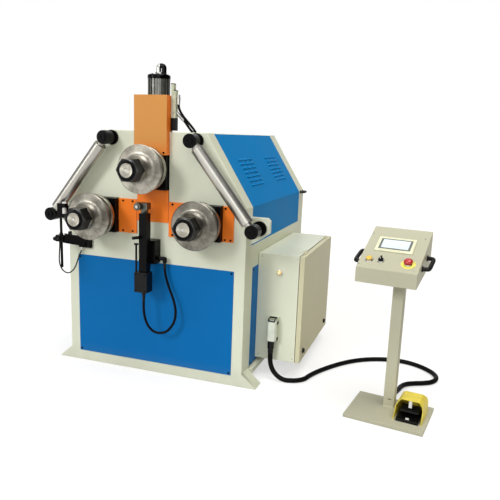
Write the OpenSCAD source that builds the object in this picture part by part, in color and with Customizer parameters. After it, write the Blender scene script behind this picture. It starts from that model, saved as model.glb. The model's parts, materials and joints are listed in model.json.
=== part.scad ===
// Angle roll bender: three-roll profile bending machine with a control pedestal.
// Origin: centre of the floor anchor pattern, on the floor. +X right, +Y to the rear, +Z up.
// Depths called y below are measured behind the front plate's face, inside front().

/* [Machine frame] */
// Width of the front plate above its feet
frame_w = 1190; // [1100:5:1300]
// Depth from the front plate's face to the rear wall
frame_d = 1364; // [1300:2:1500]
// Height of the front plate
frame_h = 1494; // [1480:1:1520]
// Width of the front plate at its top
top_w = 674; // [640:2:720]
// Height at which the sloping shoulders begin
fold_h = 1082; // [1060:1:1100]
// Width over the flared feet
foot_w = 1376; // [1340:2:1460]
// Height of the flared feet
foot_h = 82; // [70:1:95]
// Depth of the front frame
front_depth = 105; // [102:1:115]
// Depth of the rear frame
rear_depth = 125; // [100:1:140]
// Height of the covers' lower edge
ledge_h = 852; // [830:1:880]
// Thickness of the front plate
plate_t = 32; // [28:1:34]

/* [Rolls] */
// Diameter of the rolls' front discs
roll_d = 280; // [260:1:284]
// Diameter of the rolls' rear discs
rear_disc_d = 260; // [240:1:262]
// Diameter of the groove between the discs
groove_d = 236; // [200:1:240]
// Distance between the two lower shafts
roll_gap = 682; // [680:1:690]
// Height of the lower shafts
low_h = 984; // [980:1:986]
// Height of the top shaft at rest
top_h = 1280; // [1278:1:1284]
// Diameter of the shafts where the rolls sit
shaft_d = 80; // [70:1:84]
// How far the shafts reach in front of the plate
shaft_nose = 312; // [300:1:330]

/* [Bearing blocks] */
// Width of a lower bearing block
block_w = 220; // [214:1:222]
// Height of a lower bearing block
block_h = 208; // [200:1:210]
// Width of the top slide
slide_w = 207; // [200:1:207]
// Thickness of the orange retaining plates
retain_t = 8; // [5:1:8]

/* [Guide bars] */
// Diameter of the polished guide bars
bar_d = 73; // [56:1:76]
// Height of the upper guide bar posts
post_up_h = 1449; // [1440:1:1452]
// Distance of the upper posts from the middle
post_up_x = 276; // [268:1:284]
// Height of the lower guide bar posts
post_low_h = 968; // [962:1:972]
// Distance of the lower posts from the middle
post_low_x = 657; // [650:1:664]

/* [Electrical cabinet] */
// Width of the cabinet, away from the machine's side
cab_w = 258; // [240:1:270]
// Length of the cabinet along the machine
cab_l = 845; // [800:1:860]
// Height of the cabinet
cab_h = 678; // [660:1:690]
// Height of the cabinet above the floor
cab_z = 107; // [100:1:110]
// Thickness of the cabinet door
door_t = 30; // [26:1:34]

/* [Pedestal] */
// Width of the pedestal's foot plate
base_w = 428; // [420:1:440]
// Depth of the pedestal's foot plate
base_d = 332; // [320:1:340]
// Width of the square post
post_w = 60; // [56:1:64]
// Width of the console
console_w = 320; // [308:1:330]
// Pedestal's turn about the vertical
ped_turn = -8.4; // [-10:0.1:-6]

/* [Cables] */
// Diameter of the control cable
control_d = 30; // [26:1:32]
// Diameter of the curvature sensor's cable
sensor_cable_d = 15; // [10:1:15]
// Diameter of the probe's cable
probe_cable_d = 8; // [6:1:8]
// Diameter of the linear scale's cables
scale_cable_d = 14; // [10:1:14]

/* [Hidden] */
$fn = 64;

cream = "#d7dcc8";
blue = "#0a66b0";
orange = "#cd6424";
black = "#1c1c1e";
steel = "#a9aaa6";
grey = "#9a9c98";
yellow = "#e9bf2e";

// Clearances: a running fit, a gap between sliding flats, and the overlap of cutting tools
run_gap = 0.05;
flat_gap = 0.5;
cut = 1;

half_w = frame_w / 2;
half_top = top_w / 2;
front_y = -frame_d / 2;
shoulder_turn = atan2(half_w - half_top, frame_h - fold_h);
rim_t = 25;
rear_wall_t = 10;
sheet_t = 3;
roll_x = roll_gap / 2;

// Floor anchors
anchor_x = 555;
anchor_in = 142;
anchor_r = 11;
lug_w = 70;
lug_l = 75;
lug_t = 16;

// Shaft, housing and drive stations behind the front face
journal_r = 45;
seat_r = 75;
lip_r = 47;
housing_r = 95;
housing_end = 400;
seat_start = 8;
ring_front = [10, 60];
ring_rear = [350, 398];
collar = [-80, -63];
collar_r = 58;
spigot_r = 30;
spigot_end = 450;
gearbox_end = 560;
motor_r = 62;
motor_end = 690;
block_front = -45;
cover_front = -60;

// Roll stack stations
roll_back = -82;
groove_back = -112;
groove_front = -158;
roll_front = -171;
hub_front = -228;
nut_front = -305;
nut_r = 71;

// Top slide and its lift cylinder
slide_top = 1400;
slide_low = 1156;
slide_flange = [-34, -9];
slide_flange_w = 200;
slide_back = 130;
web_low = 1238;
slot_low = 1083;
slot_top = 1445;
lift_y = 68;
lift_r = 65;
lift_bore_r = 50;
lift_top = 1791;
lift_cap_h = 26;
elbow_z = 1862;
gland_top = 1520;
rod_r = 30;
piston = [1600, 1640];

// Orange plates
guard_w = 212;
guard_t = 4;
guard_front = -40;
guard_low = 1360;
guard_top = 1698;
inner_plate = [107, 230];
outer_plate = [451.5, 519];
centre_plate_w = 206;
centre_plate_z = [961, 1154];
screw_r = 6;
screw_h = 3;

// Guide bar posts
knuckle_r = 40;
knuckle_y = [-104, -40];
bar_y = -72;
neck_r = 22;
neck_in = 18;
bar_end = 54;
ear_y = [50, 80];

// Curvature sensor
bar_c = [-4, -95];
bar_half = 25;
bar_z = [674, 1022];
stem = [38, 24];
stem_z = [932, 1046];
head_z = [1046, 1084];
roller_pos = [-27, 1064];
roller_r = 22;
pin_r = 6;
box_x = [-47, 37];
box_y = [-145, -75];
box_z = [553, 674];
sensor_gland = [-3, -108];

// Probe at the left roll
probe_c = [-562, -125];
probe_r = 8;
probe_z = [645, 1040];
probe_roller_x = -536;
probe_pin_r = 4;

// Cabinet
cab_x = half_w + sheet_t;
cab_y = 248;
cab_top = cab_z + cab_h;
door_x = cab_x + cab_w + 3;
door_top = cab_top - 2;
hinge_x = door_x - 1.5;
hinge_z = cab_top + 5.5;
hinge_pin_r = 2.5;
hinge_r = 5;
lock_z = 165;
lock_ys = [330, 985];
plug = [717, 309];
plug_gland = [712, 207];
lever_y = 230;
lever_z = 390;

// Pedestal, in its own turned frame
ped_x = 1470;
ped_y = 12;
base_t = 20;
base_y = -8;
post_c = [-16, 60];
console_x = -54;
desk = [[-140, 759], [-140, 841], [215, 1011], [215, 826]];
desk_rise = atan2(desk[2][1] - desk[1][1], desk[2][0] - desk[1][0]);
stop_at = [97, 72];
push_at = [-108, 72];
selector_at = [-46, 74];
screen_at = [-4, 223];
switch_x = 116;
pedal_y = 45;
pedal_z = 52;

// Routes of the cables, as x, depth behind the front face, and height
control_route = [[712, 207, 200], [712, 207, 170], [712, 207, 142], [714.1, 204.3, 114.3],
    [723.4, 197.7, 83.9], [744.2, 188.8, 53.1], [776.7, 180.4, 29], [816.9, 178, 16], [860, 183.6, 16],
    [895.9, 202.1, 16], [927.4, 236.8, 16], [947.6, 298.2, 16], [978.4, 375, 16], [1021.2, 456.9, 16],
    [1070.7, 537.2, 16], [1125.6, 611.6, 16], [1186.8, 675.6, 16], [1252.8, 725.7, 16],
    [1321.2, 761.5, 16], [1391.1, 784.1, 16], [1461.7, 791.9, 16], [1530.5, 781.2, 16], [1595, 751, 16],
    [1653.3, 704.1, 16], [1697, 643.4, 16], [1708.7, 575.6, 16], [1686.9, 518.4, 16],
    [1638.7, 478.1, 16], [1582.2, 448.2, 16], [1536.3, 408.8, 19], [1510, 352.2, 24],
    [1498.2, 285.5, 32], [1486.5, 221.7, 42], [1477, 170, 50], [1472.4, 138, 50]];
sensor_route = [[97, -32, 722], [97, -32, 695], [102, -33, 655], [114, -35, 615], [130, -38, 575],
    [148, -42, 537], [165, -46, 500], [178, -51, 460], [183, -56, 418], [178, -62, 377], [160, -69, 340],
    [132, -76, 310], [96, -83, 298], [60, -89, 303], [30, -95, 326], [10, -101, 365], [0, -106, 410],
    [-3, -108, 455], [-3, -108, 500], [-3, -108, 530]];
probe_route = [[-495, -11, 760], [-496, -12, 743], [-502, -19, 722], [-504, -33, 699], [-501, -55, 673],
    [-499, -78, 646], [-507, -98, 622], [-526, -114, 610], [-548, -127, 621], [-563, -135, 646],
    [-571, -138, 676], [-572, -138, 706], [-570, -138, 740], [-567, -138, 772], [-566, -138, 793],
    [-566, -138, 808]];
scale_route_a = [[154, 12, 1648], [157.8, 13.1, 1625], [167.5, 15.8, 1603.8], [180.4, 19.4, 1584.5],
    [194.8, 23.5, 1566.5], [209.8, 27.7, 1548.9], [224.8, 32, 1531.4], [239.1, 36.2, 1513.2],
    [252, 40, 1494]];
scale_route_b = [[176, 40, 1560], [184.3, 43.6, 1549], [191.7, 47.2, 1537.5], [199.1, 50.7, 1525.9],
    [207, 53.8, 1514.6], [215.9, 56.4, 1503.8], [226, 58, 1494]];

// Moves shapes given by depth behind the front face into the part's frame
module front() { translate([0, front_y, 0]) children(); }

// Extrudes an X-Z outline backwards from depth y0 to y1
module slab(y0, y1) { translate([0, y1, 0]) rotate([90, 0, 0]) linear_extrude(y1 - y0) children(); }

// Block between two opposite corners
module block(a, b) { translate(a) cube(b - a); }

// Cylinders along the three axes
module ycyl(r, x, z, y0, y1) { translate([x, y0, z]) rotate([-90, 0, 0]) cylinder(r = r, h = y1 - y0); }
module xcyl(r, y, z, x0, x1) { translate([x0, y, z]) rotate([0, 90, 0]) cylinder(r = r, h = x1 - x0); }
module zcyl(r, x, y, z0, z1) { translate([x, y, z0]) cylinder(r = r, h = z1 - z0); }

// Shape and its mirror image across the machine's middle
module both_sides() {
    children();
    mirror([1, 0, 0]) children();
}

// Round plug of radius r from p to q
module plug_at(p, q, r) {
    d = q - p;
    translate(p) rotate([0, acos(d[2] / norm(d)), atan2(d[1], d[0])]) cylinder(r = r, h = norm(d));
}

// Straight beam of width w and height h from p to q
module beam(p, q, w, h) {
    d = q - p;
    l = norm(d);
    translate(p) rotate([0, -asin(d[2] / l), atan2(d[1], d[0])])
        translate([0, -w / 2, -h / 2]) cube([l, w, h]);
}

// Solid turned about the Y axis from an outline of [radius, depth] points, at x and z
module turned(x, z, outline) {
    translate([x, 0, z]) rotate([-90, 0, 0]) rotate_extrude() polygon(outline);
}

// Moves shapes into the pedestal's turned frame
module stand() { translate([ped_x, front_y + ped_y, 0]) rotate(ped_turn) children(); }

// Moves shapes onto the console's sloping face, at v across and u up the slope
module on_desk(at) {
    translate([console_x + at[0], desk[1][0] + at[1] * cos(desk_rise), desk[1][1] + at[1] * sin(desk_rise)])
        rotate([desk_rise, 0, 0]) children();
}

// Directions, carried side vectors and rings of a tube along a route
function unit(v) = v / norm(v);
function heading(route, i) = unit(route[min(i + 1, len(route) - 1)] - route[max(i - 1, 0)]);
function square_to(v, t) = unit(v - (v * t) * t);
function carried(route, i, start) =
    square_to(i == 0 ? start : carried(route, i - 1, start), heading(route, i));
function ring(route, i, r, sides, start) =
    let (t = heading(route, i), u = carried(route, i, start), v = cross(t, u))
    [for (k = [0 : sides - 1]) route[i] + r * (cos(360 * k / sides) * u + sin(360 * k / sides) * v)];

// Tube of diameter d with the given number of sides, swept along a route
module tube(route, d, sides, start) {
    n = len(route);
    points = [for (i = [0 : n - 1]) each ring(route, i, d / 2, sides, start)];
    walls = [for (i = [0 : n - 2], k = [0 : sides - 1])
        let (a = i * sides + k, b = i * sides + (k + 1) % sides)
        each [[a, a + sides, b], [b, a + sides, b + sides]]];
    first = [for (k = [1 : sides - 2]) [0, k, k + 1]];
    last = [for (k = [1 : sides - 2]) [(n - 1) * sides, (n - 1) * sides + k + 1, (n - 1) * sides + k]];
    polyhedron(points, concat(walls, first, last), convexity = 8);
}

// Outline of a frame with sloping shoulders and flared feet
module frame_outline() {
    polygon([[-foot_w / 2, 0], [foot_w / 2, 0], [half_w, foot_h], [half_w, fold_h], [half_top, frame_h],
        [-half_top, frame_h], [-half_w, fold_h], [-half_w, foot_h]]);
}

// Inner outline of a frame, set in by its rim
module pocket_outline() {
    z_fold = fold_h - rim_t * tan(shoulder_turn / 2);
    x_top = half_top - rim_t * tan((90 - shoulder_turn) / 2);
    x_side = half_w - rim_t;
    polygon([[-x_side, foot_h], [x_side, foot_h], [x_side, z_fold], [x_top, frame_h - rim_t],
        [-x_top, frame_h - rim_t], [-x_side, z_fold]]);
}

// Relief under a frame's sill, between its feet
module sill_relief(y0, y1) { block([-520, y0, -cut], [520, y1, 18]); }

// Drilled foot lug for a floor anchor, at depth y0
module anchor_lugs(y0) {
    both_sides() block([anchor_x - lug_w / 2, y0, 0], [anchor_x + lug_w / 2, y0 + lug_l, lug_t]);
}

// Floor anchor holes at one depth
module anchor_holes(y) {
    both_sides() zcyl(anchor_r, anchor_x, y, -cut, lug_t + cut);
}

// Front plate with its bearing windows and the top slide's slot
module front_plate() color(cream) front() difference() {
    slab(0, plate_t) frame_outline();
    bearing_windows();
    block([-slide_w / 2 - flat_gap, -cut, slot_low], [slide_w / 2 + flat_gap, plate_t + cut, slot_top]);
}

// Windows of the lower bearing blocks
module bearing_windows() {
    half_x = block_w / 2 + flat_gap;
    half_z = block_h / 2 + flat_gap;
    both_sides() block([roll_x - half_x, -cut, low_h - half_z],
        [roll_x + half_x, plate_t + cut, low_h + half_z]);
}

// Rim behind the front plate, with the guide bar ears and the floor lugs
module front_rim() color(cream) front() difference() {
    union() {
        slab(plate_t, front_depth) difference() {
            frame_outline();
            pocket_outline();
        }
        both_sides() slab(ear_y[0], ear_y[1]) polygon([[half_w - 5, 1030], [702, 1030], [718, 1014],
            [718, 943], [667, 905], [half_w - 5, 860]]);
        anchor_lugs(front_depth);
    }
    sill_relief(-cut, front_depth + cut);
    anchor_holes(anchor_in);
    zcyl(rod_r + 2, 0, lift_y, frame_h - rim_t - cut, frame_h + cut);
}

// Rear wall with its rim, feet and raised access panel
module rear_frame() color(cream) front() difference() {
    union() {
        difference() {
            slab(frame_d - rear_depth, frame_d) frame_outline();
            slab(frame_d - rear_depth - cut, frame_d - rear_wall_t) pocket_outline();
        }
        anchor_lugs(frame_d - rear_depth - lug_l);
        block([-480, frame_d, 150], [480, frame_d + 4, 1000]);
    }
    sill_relief(frame_d - rear_depth - cut, frame_d + cut);
    anchor_holes(frame_d - anchor_in);
}

// Side walls, side rails and floor pan joining the two frames
module body_shell() color(cream) front() {
    both_sides() {
        block([half_w - 6, front_depth, foot_h], [half_w, frame_d - rear_depth, ledge_h]);
        block([half_w - 20, front_depth, 50], [half_w + 32, frame_d - rear_depth, foot_h]);
    }
    block([-half_w + 6, front_depth, foot_h], [half_w - 6, frame_d - rear_depth, foot_h + 6]);
}

// Blue panels on the two sides
module side_panels() color(blue) front() both_sides()
    block([half_w, front_depth + 34, foot_h + 2], [half_w + sheet_t, frame_d - rear_depth - 34, 712]);

// Blue panel on the lower front
module front_panel() color(blue) front() block([-528, -sheet_t, 66], [528, 0, 710]);

// One louvre slot at row k, starting at depth y
module louvre(k, y) {
    up = 132 + 29 * k;
    translate([half_w - up * sin(shoulder_turn), y, fold_h + up * cos(shoulder_turn)])
        rotate([0, -shoulder_turn, 0]) block([-10, 0, -4], [10, 78, 4]);
}

// Blue covers folded over the shoulders, with two groups of louvres each
module roof_covers() color(blue) front() both_sides() difference() {
    outer = 2;
    inner = outer + sheet_t;
    slab(front_depth, frame_d - rear_depth) polygon([
        for (i = [outer]) [half_w - i, ledge_h],
        for (i = [outer]) [half_w - i, fold_h - i * tan(shoulder_turn / 2)],
        for (i = [outer, inner]) [half_top - i * tan((90 - shoulder_turn) / 2), frame_h - i],
        [half_w - inner, fold_h - inner * tan(shoulder_turn / 2)],
        [half_w - inner, ledge_h]]);
    for (start = [272, 812], column = [0 : 2], k = [0 : 6]) louvre(k, start + 92 * column);
}

// Flat sheet over the top
module top_cover() color(cream) front()
    block([-half_top + 4, front_depth, frame_h - 7], [half_top - 4, frame_d - rear_depth, frame_h - 3]);

// Grab handles on the rear frame's edges
module grab_handles() color(black) front() both_sides() {
    ycyl(8, half_w + 26, 1076, 1254, 1336);
    for (y = [1262, 1328]) xcyl(8, y, 1076, half_w, half_w + 26);
}

// Straight run along a guide bar, from a to b measured from the upper post
module along_bar(r, a, b) {
    dx = post_low_x - post_up_x;
    dz = post_low_h - post_up_h;
    translate([post_up_x, bar_y, post_up_h]) rotate([0, atan2(dx, dz), 0]) translate([0, 0, a])
        cylinder(r = r, h = b - a);
}

bar_span = norm([post_low_x - post_up_x, post_low_h - post_up_h]);

// Polished bars with turned-down ends
module guide_bars() color(steel) front() both_sides() {
    along_bar(neck_r, neck_in, bar_span - neck_in);
    along_bar(neck_r + 6, knuckle_r + 5, knuckle_r + 10);
    along_bar(bar_d / 2, bar_end, bar_span - bar_end);
}

// One guide bar post: foot disc at depth y1, stud and knuckle
module guide_post(x, z, y1) {
    ycyl(44, x, z, y1 - 14, y1);
    ycyl(26, x, z, knuckle_y[1], y1 - 14);
    ycyl(knuckle_r, x, z, knuckle_y[0], knuckle_y[1]);
}

// Black posts that hold the guide bars off the plate
module guide_posts() color(black) front() both_sides() difference() {
    union() {
        guide_post(post_up_x, post_up_h, 0);
        guide_post(post_low_x, post_low_h, ear_y[0]);
    }
    along_bar(neck_r + run_gap, neck_in - run_gap, bar_span - neck_in + run_gap);
}

// Bore of a bearing housing whose front face is at depth y0
module housing_bore(x, z, y0) {
    ycyl(lip_r, x, z, y0 - cut, housing_end + cut);
    ycyl(seat_r, x, z, seat_start, housing_end + cut);
}

// Front and rear bearing rings on one shaft
module bearing_rings(x, z) {
    for (span = [ring_front, ring_rear]) difference() {
        ycyl(seat_r - run_gap, x, z, span[0], span[1]);
        ycyl(journal_r + run_gap, x, z, span[0] - cut, span[1] + cut);
    }
}

// Fixed bearing blocks of the lower shafts, with their bearings
module lower_blocks() color(black) front() for (x = [-roll_x, roll_x]) {
    difference() {
        union() {
            block([x - block_w / 2, block_front, low_h - block_h / 2],
                [x + block_w / 2, 100, low_h + block_h / 2]);
            ycyl(98, x, low_h, cover_front, block_front);
            ycyl(housing_r, x, low_h, 100, housing_end);
        }
        housing_bore(x, low_h, cover_front);
    }
    bearing_rings(x, low_h);
}

// Orange plates beside the lower blocks and below the top slide
module slot_plates() color(orange) front() {
    both_sides() for (span = [inner_plate, outer_plate])
        block([span[0], -retain_t, low_h - block_h / 2], [span[1], 0, low_h + block_h / 2]);
    block([-centre_plate_w / 2, 1 - retain_t, centre_plate_z[0]],
        [centre_plate_w / 2, 0, centre_plate_z[1]]);
}

// Heads of the screws in the orange plates and the guard
module plate_screws() color(black) front() {
    both_sides() {
        for (x = [inner_plate[0] + 26, inner_plate[1] - 32, outer_plate[0] + 16, outer_plate[1] - 16],
            z = [low_h - block_h / 2 + 13, low_h + block_h / 2 - 13])
            ycyl(screw_r, x, z, -retain_t - screw_h, -retain_t);
        ycyl(screw_r, guard_w / 2 - 18, guard_low + 14, guard_front - screw_h, guard_front);
    }
}

// Orange channel in front of the top slide's upper travel
module top_guard() color(orange) front() {
    block([-guard_w / 2, guard_front, guard_low], [guard_w / 2, guard_front + guard_t, guard_top]);
    both_sides() {
        block([guard_w / 2 - guard_t, guard_front, guard_low], [guard_w / 2, 0, guard_top]);
        block([guard_w / 2 - guard_t, 0, frame_h], [guard_w / 2, 36, guard_top]);
    }
}

// Lift cylinder with its cap and hydraulic elbow
module lift_cylinder() color(grey) front() {
    difference() {
        zcyl(lift_r, 0, lift_y, frame_h, lift_top);
        zcyl(lift_bore_r, 0, lift_y, gland_top, lift_top + cut);
        zcyl(rod_r + run_gap, 0, lift_y, frame_h - cut, gland_top + cut);
    }
    zcyl(lift_r + 2, 0, lift_y, lift_top, lift_top + lift_cap_h);
    zcyl(18, -2, lift_y, lift_top + lift_cap_h, elbow_z);
    translate([-2, lift_y, elbow_z]) sphere(r = 18);
    xcyl(14, lift_y, elbow_z, -2, 30);
    zcyl(12, 30, lift_y, lift_top + lift_cap_h, elbow_z);
    translate([30, lift_y, elbow_z]) sphere(r = 14);
}

// Linear scale that reads the top slide's height, with the plugs of its cables
module linear_scale() color("#c9cbc0") front() {
    block([108, 4, 1501], [126, 36, 1765]);
    block([126, 4, 1501], [140, 36, 1728]);
    for (z = [1600, 1690]) block([guard_w / 2, 8, z - 8], [108, 32, z + 8]);
    xcyl(8, 12, 1700, 138, 154);
    zcyl(9, scale_route_a[0][0], scale_route_a[0][1], scale_route_a[0][2], 1708);
    plug_at([132, 24, 1610], scale_route_b[0], 9);
}

// Cables from the linear scale into the frame's top
module scale_cables() color(black) front() {
    tube(scale_route_a, scale_cable_d, 8, [0, 1, 0]);
    tube(scale_route_b, scale_cable_d, 8, [0, 1, 0]);
}

// Slide that carries the top shaft, with its bearings
module top_slide() color(black) front() {
    difference() {
        union() {
            block([-slide_flange_w / 2, slide_flange[0], slide_low],
                [slide_flange_w / 2, slide_flange[1], slide_top]);
            block([-slide_flange_w / 2, slide_flange[1], web_low], [slide_flange_w / 2, 2, slide_top]);
            block([-slide_w / 2, 2, slide_low], [slide_w / 2, slide_back, slide_top]);
            ycyl(housing_r, 0, top_h, slide_back, housing_end);
        }
        housing_bore(0, top_h, slide_flange[0]);
    }
    bearing_rings(0, top_h);
}

// Piston rod that pushes the top slide
module cylinder_rod() color(steel) front() {
    zcyl(rod_r, 0, lift_y, slide_top, piston[0]);
    zcyl(lift_bore_r - 0.3, 0, lift_y, piston[0], piston[1]);
}

// Planetary gearbox with its hydraulic motor, behind a bearing housing
module drive(x, z) {
    difference() {
        ycyl(housing_r, x, z, housing_end, gearbox_end);
        ycyl(spigot_r + run_gap, x, z, housing_end - cut, spigot_end + 5);
    }
    ycyl(motor_r, x, z, gearbox_end, motor_end);
    block([x - 40, gearbox_end + 30, z + motor_r - 15], [x + 40, gearbox_end + 100, z + motor_r + 25]);
}

// Drive of the top shaft, which rides on the slide
module top_drive() color(grey) front() drive(0, top_h);

// Drives of the two lower shafts
module lower_drives() color(grey) front() for (x = [-roll_x, roll_x]) drive(x, low_h);

// Shaft with its roll seat, collar, journal and drive spigot
module shaft(x, z) {
    r = shaft_d / 2;
    turned(x, z, [[0, -shaft_nose], [r - 3, -shaft_nose], [r, -shaft_nose + 3], [r, collar[0]],
        [collar_r, collar[0]], [collar_r, collar[1]], [journal_r, collar[1]], [journal_r, ring_rear[1]],
        [spigot_r, ring_rear[1]], [spigot_r, spigot_end], [0, spigot_end]]);
}

// Roll made of two discs with a groove between, and a flared hub
module roll(x, z) {
    r = roll_d / 2;
    rear_r = rear_disc_d / 2;
    groove_r = groove_d / 2;
    bore = shaft_d / 2 + run_gap;
    turned(x, z, [[bore, roll_back], [rear_r - 8, roll_back], [rear_r, roll_back - 6],
        [rear_r, groove_back + 3], [rear_r - 3, groove_back], [groove_r, groove_back],
        [groove_r, groove_front], [r - 3, groove_front], [r, groove_front - 3],
        [r, roll_front + 5], [r - 5, roll_front],
        [102, roll_front], [90, roll_front - 4], [80, roll_front - 11], [72, roll_front - 21],
        [67, roll_front - 33], [64, roll_front - 47], [64, hub_front + 4], [60, hub_front],
        [bore, hub_front]]);
}

// Hexagonal nut that clamps a roll
module nut(x, z) difference() {
    translate([x, nut_front, z]) rotate([-90, 0, 0])
        cylinder(r = nut_r, h = hub_front - nut_front, $fn = 6);
    ycyl(shaft_d / 2 + run_gap, x, z, nut_front - cut, hub_front + cut);
}

module left_shaft() color(steel) front() shaft(-roll_x, low_h);
module left_roll() color(steel) front() roll(-roll_x, low_h);
module left_nut() color(black) front() nut(-roll_x, low_h);
module right_shaft() color(steel) front() shaft(roll_x, low_h);
module right_roll() color(steel) front() roll(roll_x, low_h);
module right_nut() color(black) front() nut(roll_x, low_h);
module top_shaft() color(steel) front() shaft(0, top_h);
module top_roll() color(steel) front() roll(0, top_h);
module top_nut() color(black) front() nut(0, top_h);

// Oil tank on the floor pan, with its filler hole
module oil_tank() color(grey) front() difference() {
    block([-300, 780, foot_h + 6], [300, 1180, 470]);
    block([-294, 786, foot_h + 12], [294, 1174, 464]);
    zcyl(30, 220, 860, 460, 470 + cut);
}

// Electric motor with its pump, on feet on the tank
module pump_motor() color(blue) front() {
    block([-90, 850, 470], [90, 1120, 500]);
    ycyl(120, 0, 615, 830, 1130);
    ycyl(70, 0, 615, 720, 830);
}

// Bracket that holds the curvature sensor on the plate, with its angled connector
module sensor_bracket() color(black) front() {
    block([-52, -70, 716], [52, 0, 858]);
    xcyl(12, -32, 748, 52, 97);
    translate([97, -32, 748]) sphere(r = 12);
    zcyl(12, 97, -32, 722, 748);
}

// Bar of half width hx and half depth hy on the curvature sensor's axis, from z0 to z1
module square_bar(hx, hy, z0, z1) {
    block([bar_c[0] - hx, bar_c[1] - hy, z0], [bar_c[0] + hx, bar_c[1] + hy, z1]);
}

// Upright of the curvature sensor, with the plunger's channel, clamp lever and rod
module sensor_bar() color(black) front() {
    difference() {
        square_bar(bar_half, bar_half, bar_z[0], bar_z[1]);
        square_bar(stem[0] / 2 + flat_gap, stem[1] / 2 + flat_gap, 905, bar_z[1] + cut);
    }
    zcyl(6, -40, -131, bar_z[0], 838);
    zcyl(14, -40, -131, 838, 846);
    ycyl(9, -24, 882, -140, bar_c[1] - bar_half);
    beam([-16, -140, 884], [-56, -140, 876], 12, 14);
}

// Sprung plunger with its head and roller pin
module sensor_plunger() color(black) front() {
    square_bar(stem[0] / 2, stem[1] / 2, stem_z[0], stem_z[1]);
    block([-50, -120, head_z[0]], [24, -72, head_z[1]]);
    ycyl(pin_r, roller_pos[0], roller_pos[1], -148, -120);
}

// Roller that runs on the bent profile
module sensor_roller() color(steel) front() difference() {
    ycyl(roller_r, roller_pos[0], roller_pos[1], -146, -124);
    ycyl(pin_r + run_gap, roller_pos[0], roller_pos[1], -146 - cut, -124 + cut);
}

// Encoder box under the upright, with its cable gland
module sensor_box() color(black) front() {
    block([box_x[0], box_y[0], box_z[0]], [box_x[1], box_y[1], box_z[1]]);
    zcyl(12, sensor_gland[0], sensor_gland[1], 530, box_z[0]);
}

module sensor_cable() color(black) front() tube(sensor_route, sensor_cable_d, 8, [0, 1, 0]);

// Stand of the left probe: arm with its clamp and knob, and the clamped rod with the roller's fork
module probe_stand() color(black) front() {
    difference() {
        union() {
            block([-592, -143, 808], [-540, -107, 848]);
            xcyl(12, -125, 820, -616, -592);
            beam([-550, -115, 828], [-466, -18, 797], 26, 58);
            block([-510, -22, 760], [-425, 0, 852]);
        }
        zcyl(probe_r + run_gap, probe_c[0], probe_c[1], 780, 900);
    }
    zcyl(probe_r, probe_c[0], probe_c[1], probe_z[0], probe_z[1]);
    difference() {
        block([-576, -141, 958], [-519, -109, 1044]);
        block([-550, -150, 981], [-510, -100, 1020]);
    }
    zcyl(probe_pin_r, probe_roller_x, probe_c[1], 981, 1020);
    zcyl(12, probe_roller_x, probe_c[1], 1044, 1053);
}

// Plastic roller of the left probe
module probe_roller() color("#e8e8e4") front() difference() {
    zcyl(12, probe_roller_x, probe_c[1], 982, 1019);
    zcyl(probe_pin_r + run_gap, probe_roller_x, probe_c[1], 982 - cut, 1019 + cut);
}

module probe_cable() color(grey) front() tube(probe_route, probe_cable_d, 8, [0, 1, 0]);

// Sheet-metal cabinet, open towards its door, with a plate for the switchgear
module cabinet_body() color(cream) front() {
    difference() {
        block([cab_x, cab_y, cab_z], [cab_x + cab_w, cab_y + cab_l, cab_top]);
        block([cab_x + sheet_t, cab_y + sheet_t, cab_z + sheet_t],
            [cab_x + cab_w + cut, cab_y + cab_l - sheet_t, cab_top - sheet_t]);
    }
    block([cab_x + sheet_t, cab_y + 60, cab_z + 60], [cab_x + 20, cab_y + cab_l - 60, cab_top - 60]);
    for (y = [345, 965]) {
        ycyl(hinge_pin_r, hinge_x, hinge_z, y - 15, y + 75);
        for (start = [y - 15, y + 60.5]) {
            ycyl(hinge_r, hinge_x, hinge_z, start, start + 14.5);
            block([cab_x + cab_w - 20, start, cab_top], [hinge_x, start + 14.5, cab_top + 4]);
        }
    }
}

// Door hinged along its top edge
module cabinet_door() color(cream) front() difference() {
    union() {
        difference() {
            block([door_x, cab_y, cab_z], [door_x + door_t, cab_y + cab_l, door_top]);
            block([door_x - cut, cab_y + sheet_t, cab_z + sheet_t],
                [door_x + door_t - sheet_t, cab_y + cab_l - sheet_t, door_top - sheet_t]);
        }
        for (y = [345, 965]) {
            ycyl(hinge_r, hinge_x, hinge_z, y, y + 60);
            block([door_x, y, door_top], [door_x + 14, y + 60, hinge_z]);
        }
    }
    for (y = [345, 965]) ycyl(hinge_pin_r + run_gap, hinge_x, hinge_z, y - cut, y + 60 + cut);
    for (y = lock_ys) xcyl(5 + run_gap, y, lock_z, door_x, door_x + door_t + cut);
}

// Quarter-turn lock at depth y: slotted knob, spindle and cam
module lock(y) {
    face = door_x + door_t;
    difference() {
        xcyl(14, y, lock_z, face + 0.3, face + 12);
        block([face + 8, y - 2, lock_z - 15], [face + 13, y + 2, lock_z + 15]);
    }
    xcyl(5, y, lock_z, face - 18, face + 1);
    block([face - 18, y - 7, lock_z - 30], [face - 14, y + 7, lock_z + 8]);
}

module lock_front() color(black) front() lock(lock_ys[0]);
module lock_rear() color(black) front() lock(lock_ys[1]);

// Amber lamp on the cabinet's front
module pilot_lamp() color("#d9962a") front() {
    ycyl(18, 737, 674, cab_y - 8, cab_y);
    turned(737, 674, [[0, cab_y - 28], [7, cab_y - 27], [12, cab_y - 22], [15, cab_y - 14], [15, cab_y - 8],
        [0, cab_y - 8]]);
}

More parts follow.
